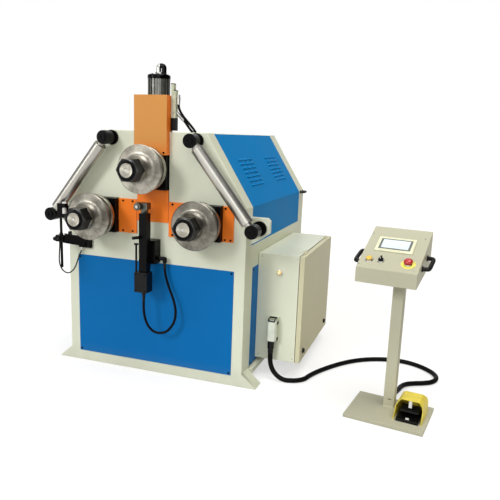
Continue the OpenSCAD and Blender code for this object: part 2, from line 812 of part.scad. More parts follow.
// Rectangular connector with its hood, gland and lever lugs
module connector() color(grey) front() {
    block([plug[0] - 31, cab_y - 12, plug[1] - 73], [plug[0] + 31, cab_y, plug[1] + 88]);
    block([plug[0] - 27, 180, plug[1] - 65], [plug[0] + 27, cab_y - 12, plug[1] + 65]);
    zcyl(18, plug_gland[0], plug_gland[1], control_route[0][2], plug[1] - 65);
    for (x = [plug[0] - 31, plug[0] + 25])
        block([x, lever_y - 6, lever_z - 6], [x + 6, cab_y - 12, lever_z + 6]);
    xcyl(3, lever_y, lever_z, plug[0] - 31, plug[0] + 31);
}

// Lever that locks the connector's hood
module latch_lever() color(black) front() difference() {
    union() {
        xcyl(5, lever_y, lever_z, plug[0] - 24, plug[0] + 24);
        block([plug[0] - 24, 186, lever_z - 3], [plug[0] + 24, lever_y, lever_z + 3]);
        block([plug[0] - 24, 180, plug[1] + 68], [plug[0] + 24, 188, lever_z + 3]);
    }
    xcyl(3 + run_gap, lever_y, lever_z, plug[0] - 40, plug[0] + 40);
}

module control_cable() color(black) front() tube(control_route, control_d, 10, [0, 1, 0]);

// Solid outline of the console
module desk_solid(inset) {
    points = [desk[0] + [inset, inset * 1.6], desk[1] + [inset, -inset], desk[2] + [-inset, -inset * 1.6],
        desk[3] + [-inset, inset]];
    translate([console_x - console_w / 2 + inset, 0, 0]) rotate([90, 0, 90])
        linear_extrude(console_w - 2 * inset) polygon(points);
}

// Square bar on the post's axis, from z0 to z1
module post_bar(half, z0, z1) {
    block([post_c[0] - half, post_c[1] - half, z0], [post_c[0] + half, post_c[1] + half, z1]);
}

// Foot plate, square post and cable gland of the pedestal
module pedestal() color(cream) stand() {
    half = post_w / 2;
    translate([-base_w / 2, base_y - base_d / 2, 0]) cube([base_w, base_d, base_t]);
    difference() {
        post_bar(half, base_t, 900);
        post_bar(half - 4, base_t + 4, 900 + cut);
        desk_solid(0);
        block([post_c[0] - 4, post_c[1] - half - cut, 66], [post_c[0] + 14, post_c[1] - half + 5, 72]);
    }
    ycyl(20, post_c[0], 50, post_c[1] + half, 125);
}

// Sheet-metal console with bezels for its controls
module console_box() color(cream) stand() difference() {
    union() {
        desk_solid(0);
        on_desk(push_at) translate([0, 0, -cut]) cylinder(r = 20, h = 4 + cut);
        on_desk(selector_at) translate([0, 0, -cut]) cylinder(r = 17, h = 4 + cut);
    }
    desk_solid(sheet_t);
    zcyl(20, post_c[0], post_c[1], 780, 900);
    on_desk(stop_at) translate([0, 0, -10]) cylinder(r = 10 + run_gap, h = 20);
    on_desk(push_at) translate([0, 0, -10]) cylinder(r = 9 + run_gap, h = 20);
    on_desk(selector_at) translate([0, 0, -10]) cylinder(r = 6 + run_gap, h = 20);
}

// Touch screen in its bezel
module touch_screen() color("#d9d8c6") stand() on_desk(screen_at) block([-102, -66, 0], [102, 66, 8]);

// Red mushroom button for the emergency stop
module stop_button() color("#b3201c") stand() on_desk(stop_at) rotate_extrude()
    polygon([[0, -22], [10, -22], [10, 13], [24, 13], [27, 17], [27, 26], [22, 33], [12, 37], [0, 38]]);

// Yellow push button
module push_button() color(yellow) stand() on_desk(push_at) rotate_extrude()
    polygon([[0, -18], [9, -18], [9, 8.5], [16, 8.5], [16, 14], [13, 16.5], [0, 17.5]]);

// Black selector switch
module selector() color(black) stand() on_desk(selector_at) {
    translate([0, 0, -18]) cylinder(r = 6, h = 23);
    translate([0, 0, 4.5]) cylinder(r = 14, h = 8);
    translate([-4, -15, 12.5]) cube([8, 30, 12]);
}

// Grab handles on the console's two sides
module console_handles() color(black) stand() for (side = [-1, 1]) {
    x0 = console_x + side * console_w / 2;
    x1 = x0 + side * 37;
    low = [-42, 846];
    high = [104, 886];
    beam([x1, low[0], low[1]], [x1, high[0], high[1]], 22, 22);
    for (p = [low + [10, 3], high - [10, 3]]) xcyl(11, p[0], p[1], min(x0, x1), max(x0, x1));
}

// Base of the foot switch with the pedal's lugs and pin
module switch_base() color(black) stand() {
    block([switch_x - 60, -106, base_t], [switch_x + 60, 78, base_t + 16]);
    for (x = [switch_x - 58, switch_x + 50])
        block([x, pedal_y - 9, base_t + 16], [x + 8, pedal_y + 9, pedal_z + 9]);
    xcyl(4, pedal_y, pedal_z, switch_x - 58, switch_x + 58);
}

// Solid of the foot switch's hood, set in by t and carried on by reach past its open sides
module hood_solid(t, reach) {
    low = base_t - reach;
    intersection() {
        translate([switch_x - 80, 0, 0]) rotate([90, 0, 90]) linear_extrude(160)
            polygon([[-104 - reach, low], [-46 - reach, 126 - t], [66 - t, 126 - t], [88 - t, 104],
                [88 - t, low]]);
        translate([switch_x, 0, 0]) slab(-140, 100)
            polygon([[-76 + t, low], [76 - t, low], [74 - t, 84], [66 - t, 108], [47 - t / 2, 126 - t],
                [-47 + t / 2, 126 - t], [-66 + t, 108], [-74 + t, 84]]);
    }
}

// Yellow hood of the foot switch, open to the front and below
module switch_hood() color(yellow) stand() difference() {
    hood_solid(0, 0);
    hood_solid(4, 12);
}

// Pedal that tips about its rear pin
module pedal() color(grey) stand() difference() {
    union() {
        xcyl(8, pedal_y, pedal_z, switch_x - 49, switch_x + 49);
        translate([switch_x - 49, pedal_y, pedal_z]) rotate([-7, 0, 0]) block([0, -106, -4], [98, 0, 6]);
    }
    xcyl(4 + run_gap, pedal_y, pedal_z, switch_x - 80, switch_x + 80);
}

front_plate();
front_rim();
rear_frame();
body_shell();
side_panels();
front_panel();
roof_covers();
top_cover();
grab_handles();
guide_bars();
guide_posts();
lower_blocks();
slot_plates();
plate_screws();
top_guard();
lift_cylinder();
linear_scale();
scale_cables();
top_slide();
cylinder_rod();
top_drive();
lower_drives();
left_shaft();
left_roll();
left_nut();
right_shaft();
right_roll();
right_nut();
top_shaft();
top_roll();
top_nut();
oil_tank();
pump_motor();
sensor_bracket();
sensor_bar();
sensor_plunger();
sensor_roller();
sensor_box();
sensor_cable();
probe_stand();
probe_roller();
probe_cable();
cabinet_body();
cabinet_door();
lock_front();
lock_rear();
pilot_lamp();
connector();
latch_lever();
control_cable();
pedestal();
console_box();
touch_screen();
stop_button();
push_button();
selector();
console_handles();
switch_base();
switch_hood();
pedal();
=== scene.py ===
"""Angle roll bender: shapes and finishes of its pieces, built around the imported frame."""

import json
import math
from functools import cache
from itertools import product

import bmesh
import bpy
from bpy.props import FloatProperty, FloatVectorProperty, PointerProperty
from bpy.types import Operator, Panel, PropertyGroup
from mathutils import Matrix, Vector

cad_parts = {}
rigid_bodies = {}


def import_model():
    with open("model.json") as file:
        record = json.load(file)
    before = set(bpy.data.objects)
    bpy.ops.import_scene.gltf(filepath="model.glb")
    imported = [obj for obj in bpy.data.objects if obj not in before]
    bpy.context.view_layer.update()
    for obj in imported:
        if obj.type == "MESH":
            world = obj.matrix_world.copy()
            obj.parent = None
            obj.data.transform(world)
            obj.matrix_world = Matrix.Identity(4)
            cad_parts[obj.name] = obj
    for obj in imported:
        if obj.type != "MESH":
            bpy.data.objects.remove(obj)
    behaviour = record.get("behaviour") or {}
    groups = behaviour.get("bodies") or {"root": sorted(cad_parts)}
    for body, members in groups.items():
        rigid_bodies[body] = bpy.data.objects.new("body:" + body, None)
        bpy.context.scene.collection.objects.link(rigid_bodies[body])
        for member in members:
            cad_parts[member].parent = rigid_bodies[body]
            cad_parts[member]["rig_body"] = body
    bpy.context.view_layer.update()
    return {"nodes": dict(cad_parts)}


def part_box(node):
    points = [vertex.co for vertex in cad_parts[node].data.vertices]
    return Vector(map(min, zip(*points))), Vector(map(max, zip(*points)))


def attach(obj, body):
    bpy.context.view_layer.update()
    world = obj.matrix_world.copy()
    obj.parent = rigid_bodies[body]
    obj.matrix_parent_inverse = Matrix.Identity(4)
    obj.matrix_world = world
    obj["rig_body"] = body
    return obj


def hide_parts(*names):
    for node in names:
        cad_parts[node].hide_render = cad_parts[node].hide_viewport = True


bl_info = {
    "name": "Angle roll bender",
    "version": (1, 0, 0),
    "blender": (4, 5, 0),
    "location": "View3D > Sidebar > Roll bender",
    "description": "Shapes and finishes of an angle roll bender, around its packed frame",
    "category": "Object",
}

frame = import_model()
NODES = frame["nodes"]
MM = 0.001
FRONT_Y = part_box("front_plate")[0].y

# Points nearer than WELD are merged, faces flatter than FLAT are joined,
# and only edges sharper than SHARP are rounded
WELD = 0.00001
FLAT = math.radians(0.8)
SHARP = math.radians(32)

# Pedestal frame and the slope of its console, as in the part's source
STAND = Matrix.Translation((1.470, FRONT_Y + 0.012, 0)) @ Matrix.Rotation(math.radians(-8.4), 4, "Z")
DESK_RISE = math.atan2(170, 355)
DESK_FRONT = Vector((-54, -140, 841))
SWITCH_X = 116

# Routes of the cables in millimetres: across, behind the front face, and up
CONTROL_ROUTE = (
    (712, 207, 200), (712, 207, 170), (712, 207, 142), (714.1, 204.3, 114.3), (723.4, 197.7, 83.9),
    (744.2, 188.8, 53.1), (776.7, 180.4, 29), (816.9, 178, 16), (860, 183.6, 16), (895.9, 202.1, 16),
    (927.4, 236.8, 16), (947.6, 298.2, 16), (978.4, 375, 16), (1021.2, 456.9, 16), (1070.7, 537.2, 16),
    (1125.6, 611.6, 16), (1186.8, 675.6, 16), (1252.8, 725.7, 16), (1321.2, 761.5, 16),
    (1391.1, 784.1, 16), (1461.7, 791.9, 16), (1530.5, 781.2, 16), (1595, 751, 16), (1653.3, 704.1, 16),
    (1697, 643.4, 16), (1708.7, 575.6, 16), (1686.9, 518.4, 16), (1638.7, 478.1, 16),
    (1582.2, 448.2, 16), (1536.3, 408.8, 19), (1510, 352.2, 24), (1498.2, 285.5, 32),
    (1486.5, 221.7, 42), (1477, 170, 50), (1472.4, 138, 50),
)
SENSOR_ROUTE = (
    (97, -32, 722), (97, -32, 695), (102, -33, 655), (114, -35, 615), (130, -38, 575), (148, -42, 537),
    (165, -46, 500), (178, -51, 460), (183, -56, 418), (178, -62, 377), (160, -69, 340),
    (132, -76, 310), (96, -83, 298), (60, -89, 303), (30, -95, 326), (10, -101, 365), (0, -106, 410),
    (-3, -108, 455), (-3, -108, 500), (-3, -108, 530),
)
PROBE_ROUTE = (
    (-495, -11, 760), (-496, -12, 743), (-502, -19, 722), (-504, -33, 699), (-501, -55, 673),
    (-499, -78, 646), (-507, -98, 622), (-526, -114, 610), (-548, -127, 621), (-563, -135, 646),
    (-571, -138, 676), (-572, -138, 706), (-570, -138, 740), (-567, -138, 772), (-566, -138, 793),
    (-566, -138, 808),
)
SCALE_ROUTE_A = (
    (154, 12, 1648), (155.3, 12.4, 1634.7), (158.9, 13.4, 1621.8), (164.3, 14.9, 1609.6),
    (170.9, 16.7, 1598.1), (178.4, 18.8, 1587.2), (186.4, 21.1, 1576.7), (194.8, 23.5, 1566.5),
    (203.3, 25.9, 1556.4), (212, 28.4, 1546.4), (220.5, 30.8, 1536.4), (229, 33.2, 1526.3),
    (237.1, 35.6, 1515.9), (244.8, 37.9, 1505.1), (252, 40, 1494),
)
SCALE_ROUTE_B = (
    (176, 40, 1560), (179.7, 41.5, 1555.4), (183.2, 43, 1550.7), (186.4, 44.6, 1545.8),
    (189.6, 46.2, 1540.8), (192.8, 47.7, 1535.9), (195.9, 49.2, 1530.9), (199.1, 50.7, 1525.9),
    (202.4, 52.1, 1521), (205.9, 53.4, 1516.2), (209.5, 54.6, 1511.4), (213.2, 55.7, 1506.8),
    (217.2, 56.7, 1502.3), (221.5, 57.4, 1498), (226, 58, 1494),
)


def tint(name, description, default):
    """Colour property as it is seen on screen."""
    return FloatVectorProperty(
        name=name, description=description, subtype="COLOR_GAMMA", size=3, min=0, max=1, default=default
    )


def size(name, description, default):
    """Length property in metres."""
    return FloatProperty(name=name, description=description, unit="LENGTH", min=0, default=default)


class BenderPaints(PropertyGroup):
    """Colours of the machine's paints and plastics."""

    cream: tint("Body paint", "Powder coat of the frames and the cabinet", (0.845, 0.86, 0.785))
    # Door paint is a darker, warmer copy of the body paint: painted shade on the cabinet's shaded side
    door: tint("Door paint", "Warmer powder coat of the cabinet's door", (0.8, 0.785, 0.665))
    stand: tint("Pedestal paint", "Powder coat of the pedestal and its console", (0.72, 0.715, 0.628))
    blue: tint("Panel paint", "Paint of the blue panels", (0.012, 0.405, 0.67))
    # Roof paint is a lighter copy of the panel blue: painted light on the up-facing roof
    roof: tint("Roof paint", "Paint of the blue roof covers", (0.045, 0.5, 0.785))
    orange: tint("Plate paint", "Paint of the orange plates", (0.98, 0.505, 0.155))
    guard: tint("Guard paint", "Paler orange of the guard's front", (0.81, 0.56, 0.28))
    hood: tint("Hood plastic", "Yellow of the foot switch's hood", (0.88, 0.8, 0.27))
    black: tint("Black", "Black of the fittings", (0.035, 0.035, 0.038))
    red: tint("Stop button", "Red of the emergency stop", (0.7, 0.1, 0.1))
    steel: tint("Turned steel", "Tone of the rolls", (0.62, 0.605, 0.56))


class BenderEdges(PropertyGroup):
    """Rounding of the machine's edges."""

    plate: size("Plate edges", "Rounding of thick plate", 0.004)
    sheet: size("Sheet edges", "Bend radius of sheet metal", 0.003)
    casting: size("Fitting edges", "Rounding of the black fittings", 0.003)
    small: size("Small edges", "Rounding of small parts", 0.001)
    louvre: size("Louvre rise", "How far a louvre stands out of the roof", 0.007)


class BenderStage(PropertyGroup):
    """Camera and light."""

    eye: FloatVectorProperty(
        name="Camera", description="Place of the camera", subtype="XYZ", unit="LENGTH",
        default=(1.6278, -3.7592, 1.5),
    )
    lens: FloatProperty(name="Lens", description="Focal length in millimetres", default=41.54, min=1)
    ambient: FloatProperty(name="Ambient", description="Light from all round", default=0.38, min=0)
    key: FloatProperty(name="Key light", description="Light from the front left", default=1.3, min=0)
    fill: FloatProperty(name="Fill light", description="Light from the front right", default=0.6, min=0)
    side: FloatProperty(name="Side light", description="Low light from the left", default=0.25, min=0)
    top: FloatProperty(name="Top light", description="Light from above", default=1.9, min=0)


def paints():
    """Colours that are set in the scene."""
    return bpy.context.scene.bender_paints


def edges():
    """Edge sizes that are set in the scene."""
    return bpy.context.scene.bender_edges


def at(x, depth, z):
    """Point of the machine, from millimetres across, behind the front face, and up."""
    return Vector((x * MM, FRONT_Y + depth * MM, z * MM))


def on_stand(x, y, z):
    """Point of the pedestal, from millimetres in its own frame."""
    return STAND @ (Vector((x, y, z)) * MM)


def on_desk(across, up):
    """Frame on the console's sloping face, from millimetres across it and up the slope."""
    rise = Vector((across, up * math.cos(DESK_RISE), up * math.sin(DESK_RISE)))
    return STAND @ Matrix.Translation((DESK_FRONT + rise) * MM) @ Matrix.Rotation(DESK_RISE, 4, "X")


def rotation(degrees, axis):
    """Turn about an axis of the frame."""
    return Matrix.Rotation(math.radians(degrees), 4, axis)


def linear(colour, share=1.0):
    """Scene-linear colour of a screen colour or a named paint, lightened or darkened by a share."""
    if isinstance(colour, str):
        colour = getattr(paints(), colour)
    parts = [c / 12.92 if c <= 0.04045 else ((c + 0.055) / 1.055) ** 2.4 for c in colour]
    return (*[min(1.0, p * share) for p in parts], 1.0)


class Nodes:
    """A node tree under construction, with short calls for its nodes."""

    def __init__(self, tree):
        self.tree = tree

    def add(self, kind, inputs, **settings):
        """New node with its settings and inputs."""
        made = self.tree.nodes.new(kind)
        for key, value in settings.items():
            setattr(made, key, value)
        for key, value in inputs.items():
            self.feed(made.inputs[key], value)
        return made

    def feed(self, socket, value):
        """Links a socket, or sets its value."""
        if isinstance(value, bpy.types.NodeSocket):
            self.tree.links.new(value, socket)
        else:
            socket.default_value = value

    def span(self, value, low, high, to_low=0.0, to_high=1.0):
        """Value carried from one range to another, and held at its ends."""
        inputs = {0: value, 1: low, 2: high, 3: to_low, 4: to_high}
        return self.add("ShaderNodeMapRange", inputs).outputs["Result"]

    def blend(self, share, first, second):
        """Colour between two colours."""
        return self.add("ShaderNodeMix", {0: share, 6: first, 7: second}, data_type="RGBA").outputs[2]

    def join(self, operation, first, second):
        """Product, maximum or the like of two values."""
        return self.add("ShaderNodeMath", {0: first, 1: second}, operation=operation).outputs[0]

    def seen_rays(self):
        """Share of rays that see the backdrop: camera, glossy and transmitted ones."""
        path = self.add("ShaderNodeLightPath", {}).outputs
        either = self.join("MAXIMUM", path["Is Camera Ray"], path["Is Glossy Ray"])
        return self.join("MAXIMUM", either, path["Is Transmission Ray"])


class Finish(Nodes):
    """A procedural material under construction."""

    def __init__(self, name, sockets):
        self.material = bpy.data.materials.new(name)
        self.material.use_nodes = True
        super().__init__(self.material.node_tree)
        self.shader = self.tree.nodes["Principled BSDF"]
        self.place = self.add("ShaderNodeTexCoord", {}).outputs["Object"]
        self.normal = None
        for key, value in sockets.items():
            self.shader.inputs[key].default_value = value

    def centred(self, centre, stretch=(1, 1, 1)):
        """Object coordinates about a centre, and stretched."""
        inputs = {"Vector": self.place, "Location": centre, "Scale": stretch}
        return self.add("ShaderNodeMapping", inputs, vector_type="TEXTURE").outputs["Vector"]

    def noise(self, scale, detail=3.0, where=None):
        """Noise of a scale per metre."""
        inputs = {"Vector": self.place if where is None else where, "Scale": scale, "Detail": detail}
        return self.add("ShaderNodeTexNoise", inputs).outputs["Fac"]

    def rings(self, radius, scale):
        """Noise along a radius, as a lathe tool leaves it."""
        inputs = {"W": radius, "Scale": scale, "Detail": 4.0}
        return self.add("ShaderNodeTexNoise", inputs, noise_dimensions="1D").outputs["Fac"]

    def radius(self, where):
        """Distance from the Y axis of centred coordinates."""
        inputs = {0: where, 1: (1, 0, 1)}
        flat = self.add("ShaderNodeVectorMath", inputs, operation="MULTIPLY").outputs[0]
        return self.add("ShaderNodeVectorMath", {0: flat}, operation="LENGTH").outputs["Value"]

    def height(self):
        """Height above the floor."""
        return self.add("ShaderNodeSeparateXYZ", {0: self.place}).outputs["Z"]

    def bump(self, height, depth):
        """Adds relief of a depth in metres to the surface."""
        made = self.add("ShaderNodeBump", {"Height": height, "Distance": depth})
        if self.normal is not None:
            self.tree.links.new(self.normal, made.inputs["Normal"])
        self.normal = made.outputs["Normal"]
        self.tree.links.new(self.normal, self.shader.inputs["Normal"])

    def close(self, colour, roughness):
        """Links colour and roughness, and returns the material."""
        self.feed(self.shader.inputs["Base Color"], colour)
        self.feed(self.shader.inputs["Roughness"], roughness)
        return self.material


def paint_finish(name, colour, gloss=0.42, shine=0.25, upper=None):
    """Powder coat: slow clouds of tone, fine grain, dust towards the floor and an orange-peel skin."""
    made = Finish(name, {"Specular IOR Level": shine})
    clouds = made.noise(1.6, 4.0)
    grain = made.noise(110, 3.0)
    tone = made.blend(made.span(clouds, 0.35, 0.65), linear(colour, 0.95), linear(colour, 1.03))
    if upper is not None:
        tone = made.blend(made.span(made.height(), 1.3, 1.45), tone, linear(upper))
    tone = made.blend(made.span(grain, 0.58, 0.75, 0.0, 0.12), tone, linear(colour, 0.75))
    dust = made.join("MULTIPLY", made.span(made.height(), 0.0, 0.12, 0.3, 0.0), made.noise(14, 4.0))
    tone = made.blend(dust, tone, linear((0.5, 0.48, 0.42)))
    made.bump(made.noise(480, 2.0), 0.00005)
    return made.close(tone, made.span(clouds, 0.3, 0.7, gloss - 0.05, gloss + 0.07))


def metal_finish(name, colour, gloss, mottle):
    """Metal with a mottled tone, fine scratches and uneven gloss."""
    made = Finish(name, {"Metallic": 1.0})
    patches = made.noise(26, 5.0)
    scratches = made.noise(240, 3.0, made.centred((0, 0, 0), (1, 1, 9)))
    tone = made.blend(made.span(patches, 0.35, 0.7), linear(colour), linear(colour, mottle))
    made.bump(scratches, 0.00003)
    return made.close(tone, made.span(patches, 0.3, 0.75, gloss, gloss + 0.16))


def turned_finish(name, node, lit_shares, grime=0.85, tilt=0.35):
    """Turned steel: tool rings about the axis of a node, with smears of oil and handling, made lighter
    or darker by its tone shares as painted light and shade.
    """
    low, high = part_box(node)
    made = Finish(name, {"Metallic": 1.0, "Anisotropic": tilt})
    made.feed(made.shader.inputs["Tangent"], made.add("ShaderNodeTangent", {}, axis="Y").outputs[0])
    local = made.centred((low + high) / 2)
    rings = made.rings(made.radius(local), 420)
    smears = made.noise(13, 6.0, local)
    spots = made.noise(60, 4.0, local)
    dark, light = (linear("steel", share) for share in lit_shares)
    tone = made.blend(made.span(rings, 0.35, 0.65), dark, light)
    tone = made.blend(made.span(smears, 0.4, 0.66, 0.0, grime), tone, linear((0.36, 0.34, 0.31)))
    tone = made.blend(made.span(spots, 0.52, 0.72, 0.0, grime / 2), tone, linear((0.26, 0.235, 0.21)))
    made.bump(rings, 0.0002)
    return made.close(tone, made.span(smears, 0.35, 0.7, 0.32, 0.5))


def polished_finish(name):
    """Ground and polished bar: an even tone, a film of oil and low roughness."""
    made = Finish(name, {"Metallic": 1.0})
    film = made.noise(9, 2.0)
    dark, light = linear((0.69, 0.68, 0.65)), linear((0.72, 0.71, 0.68))
    tone = made.blend(made.span(film, 0.35, 0.65), dark, light)
    made.bump(made.noise(900, 2.0), 0.000002)
    return made.close(tone, made.span(film, 0.3, 0.7, 0.29, 0.33))


def plastic_finish(name, colour, gloss, grain=0.00008, shine=0.5, coat=0.0):
    """Moulded plastic: slight shifts of tone and a fine spark-eroded grain."""
    made = Finish(name, {"Specular IOR Level": shine, "Coat Weight": coat})
    clouds = made.noise(18, 3.0)
    tone = made.blend(made.span(clouds, 0.35, 0.65), linear(colour, 0.9), linear(colour, 1.06))
    made.bump(made.noise(700, 2.0), grain)
    return made.close(tone, made.span(clouds, 0.3, 0.7, gloss, gloss + 0.1))


def rubber_finish(name, colour):
    """Cable sheath: dull, with a fine grain and a bloom of dust."""
    made = Finish(name, {"Specular IOR Level": 0.06})
    bloom = made.noise(22, 4.0)
    tone = made.blend(made.span(bloom, 0.45, 0.75), linear(colour), linear(colour, 2.2))
    made.bump(made.noise(420, 3.0), 0.00012)
    return made.close(tone, made.span(bloom, 0.3, 0.7, 0.36, 0.52))


def lens_finish(name, node):
    """Amber lens, paler towards its middle as a painted glow."""
    low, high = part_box(node)
    made = Finish(name, {"Coat Weight": 0.8, "Coat Roughness": 0.06, "Subsurface Weight": 0.2})
    made.shader.inputs["Subsurface Radius"].default_value = (0.006, 0.003, 0.001)
    local = made.centred((low + high) / 2)
    ripple = made.noise(260, 2.0, local)
    painted_glow = made.span(made.radius(local), 0.004, 0.0155)
    tone = made.blend(painted_glow, linear((1.0, 0.95, 0.78)), linear((0.93, 0.72, 0.36)))
    made.bump(ripple, 0.0004)
    return made.close(tone, made.span(ripple, 0.3, 0.7, 0.12, 0.24))


def screen_finish(name):
    """Lit panel behind glass, a little brighter along its top."""
    made = Finish(name, {"Coat Weight": 0.6, "Coat Roughness": 0.05, "Emission Strength": 0.08})
    made.shader.inputs["Emission Color"].default_value = (0.85, 0.92, 1.0, 1.0)
    sweep = made.span(made.height(), 0.91, 0.965)
    haze = made.noise(30, 3.0)
    tone = made.blend(sweep, linear((0.78, 0.83, 0.89)), linear((0.85, 0.89, 0.93)))
    tone = made.blend(made.span(haze, 0.4, 0.7, 0.0, 0.2), tone, linear((0.84, 0.82, 0.87)))
    return made.close(tone, made.span(haze, 0.3, 0.7, 0.2, 0.3))


SIDES = ("left", "right", "top")

# Maker of each finish, and what it is given after the name
FINISHES = {
    "cream_coat": (paint_finish, "cream"),
    # Door coat: darker, warmer copy of the body paint, painted shade
    "door_coat": (paint_finish, "door", 0.42, 0.08),
    "stand_coat": (paint_finish, "stand", 0.42, 0.12),
    "blue_coat": (paint_finish, "blue", 0.42, 0.1),
    # Roof coat: lighter copy of the panel blue, painted light
    "roof_coat": (paint_finish, "roof", 0.45, 0.015),
    "orange_coat": (paint_finish, "orange"),
    "guard_coat": (paint_finish, "orange", 0.42, 0.25, "guard"),
    "grey_coat": (paint_finish, (0.52, 0.53, 0.52)),
    "black_coat": (paint_finish, (0.035, 0.035, 0.037), 0.26, 0.08),
    "scale_coat": (paint_finish, (0.78, 0.8, 0.71), 0.4),
    "black_oxide": (metal_finish, (0.11, 0.11, 0.114), 0.14, 0.6),
    # Lighter oxide for the nut chamfers: partly wear, partly a painted highlight
    "worn_oxide": (metal_finish, (0.23, 0.23, 0.225), 0.26, 0.6),
    "bright_zinc": (metal_finish, (0.8, 0.8, 0.78), 0.2, 0.8),
    "ribbed_barrel": (metal_finish, (0.5, 0.5, 0.48), 0.26, 0.7),
    "dull_steel": (metal_finish, (0.42, 0.43, 0.4), 0.3, 0.6),
    "polished_bar": (polished_finish,),
    # Each roll and the shaft ends get their own tone shares: lighter and darker copies of one steel,
    # painted light and shade
    "left_steel": (turned_finish, "left_roll", (0.8, 1.15)),
    "right_steel": (turned_finish, "right_roll", (0.55, 0.85), 0.9),
    "top_steel": (turned_finish, "top_roll", (1.0, 1.4), 0.7),
    **{side + "_end": (turned_finish, side + "_shaft", (0.95, 1.3), 0.15, 0.85) for side in SIDES},
    "cable_sheath": (rubber_finish, (0.035, 0.035, 0.035)),
    "grey_sheath": (rubber_finish, (0.2, 0.2, 0.195)),
    "black_moulding": (plastic_finish, "black", 0.3, 0.00006, 0.2),
    "red_moulding": (plastic_finish, "red", 0.22, 0.00004, 0.5, 0.4),
    "white_moulding": (plastic_finish, (0.9, 0.9, 0.88), 0.35),
    "hood_plastic": (plastic_finish, "hood", 0.4, 0.00008, 0.3),
    "shell_plastic": (plastic_finish, (0.84, 0.865, 0.82), 0.36),
    "bezel_plastic": (plastic_finish, (0.875, 0.875, 0.755), 0.4),
    "frame_plastic": (plastic_finish, (0.37, 0.4, 0.37), 0.4),
    "ring_plastic": (plastic_finish, (0.93, 0.9, 0.42), 0.4),
    "cap_plastic": (plastic_finish, (0.9, 0.74, 0.27), 0.3),
    "lamp_lens": (lens_finish, "pilot_lamp"),
    "screen_glass": (screen_finish,),
}


@cache
def finish(name):
    """Material of a finish, made on its first use."""
    maker, *settings = FINISHES[name]
    return maker(name, *settings)


def link(name, data):
    """New object in the scene."""
    made = bpy.data.objects.new(name, data)
    bpy.context.scene.collection.objects.link(made)
    return made


def piece(name, bm, finishes, stands_for=(), body="machine", crease=35):
    """Object from a bmesh, at the origin, riding on a body of the frame."""
    mesh = bpy.data.meshes.new(name)
    bm.to_mesh(mesh)
    bm.free()
    for each in finishes:
        mesh.materials.append(finish(each))
    mesh.shade_smooth()
    mesh.set_sharp_from_angle(angle=math.radians(crease))
    made = link(name, mesh)
    made.modifiers.new("Even shading", "WEIGHTED_NORMAL").keep_sharp = True
    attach(made, body)
    if stands_for:
        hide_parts(*stands_for)


def copy_of(node):
    """Merged copy of a CAD node's mesh, with its flat faces made whole."""
    bm = bmesh.new()
    bm.from_mesh(NODES[node].data)
    bmesh.ops.remove_doubles(bm, verts=bm.verts, dist=WELD)
    bmesh.ops.dissolve_limit(bm, angle_limit=FLAT, verts=bm.verts, edges=bm.edges)
    return bm


def bevel(bm, geom, width, segments=2):
    """Rounds edges over."""
    bmesh.ops.bevel(
        bm, geom=geom, offset=width, offset_type="OFFSET", segments=segments, profile=0.5,
        affect="EDGES", clamp_overlap=True, material=-1,
    )


def sharp_edges(bm, only):
    """Sharp outer corners, or those of them that a test picks."""
    return [
        e for e in bm.edges
        if len(e.link_faces) == 2 and e.is_convex and e.calc_face_angle(0) > SHARP
        and (only is None or only(e))
    ]


def longer_than(length):
    """Test that picks edges over a length."""
    return lambda edge: edge.calc_length() > length


def dress(node, finishes, width=0.0, segments=2, only=None, regions=()):
    """Copy of a node with rounded edges and a finish; boxes in regions take the later finishes."""
    bm = copy_of(node)
    if width:
        bevel(bm, sharp_edges(bm, only), width, segments)
    for index, (low, high) in enumerate(regions, 1):
        for face in bm.faces:
            middle = face.calc_center_median()
            if all(a <= m <= b for a, m, b in zip(low, middle, high)):
                face.material_index = index
    piece(node + "_made", bm, finishes, [node], NODES[node]["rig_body"])


def plain(node, name):
    """Gives a CAD node that keeps its shape a finish."""
    materials = NODES[node].data.materials
    materials.clear()
    materials.append(finish(name))


def add_block(bm, low, high, place=None, width=0.0, segments=2):
    """Block between two corners in millimetres, with rounded edges, in a frame or the machine's."""
    if place is None:
        place = Matrix.Translation((0, FRONT_Y, 0))
    low, high = Vector(low) * MM, Vector(high) * MM
    verts = bmesh.ops.create_cube(bm, size=1)["verts"]
    bmesh.ops.scale(bm, vec=high - low, verts=verts)
    bmesh.ops.translate(bm, vec=(low + high) / 2, verts=verts)
    bmesh.ops.transform(bm, matrix=place, verts=verts)
    if width:
        bevel(bm, list({e for v in verts for e in v.link_edges}), width, segments)


def add_rod(bm, start, end, radius, segments, width=0.0):
    """Round bar between two points, with rounded rims."""
    turn = (end - start).to_track_quat("Z", "Y").to_matrix().to_4x4()
    length = (end - start).length
    verts = bmesh.ops.create_cone(
        bm, cap_ends=True, segments=segments, radius1=radius, radius2=radius, depth=length,
        matrix=Matrix.Translation(start) @ turn @ Matrix.Translation((0, 0, length / 2)),
    )["verts"]
    if width:
        rims = {e for v in verts for e in v.link_edges if any(len(f.verts) > 4 for f in e.link_faces)}
        bevel(bm, list(rims), width)


def add_turned(bm, outline, place, steps, closed=False):
    """Solid turned about a frame's Z axis, from radius and height pairs in millimetres."""
    verts = [bm.verts.new(place @ (Vector((r, 0, h)) * MM)) for r, h in outline]
    chain = list(zip(verts, verts[1:]))
    if closed:
        chain.append((verts[-1], verts[0]))
    lines = [bm.edges.new(pair) for pair in chain]
    bmesh.ops.spin(
        bm, geom=verts + lines, cent=place.translation, axis=place.col[2].to_3d(), angle=2 * math.pi,
        steps=steps, use_merge=True,
    )
    bmesh.ops.remove_doubles(bm, verts=bm.verts, dist=WELD)
    bmesh.ops.recalc_face_normals(bm, faces=bm.faces)


def round_curve(name, radius, resolution):
    """Empty curve with a round section."""
    curve = bpy.data.curves.new(name, "CURVE")
    curve.dimensions = "3D"
    curve.bevel_depth = radius
    curve.bevel_resolution = resolution
    curve.use_fill_caps = True
    return curve


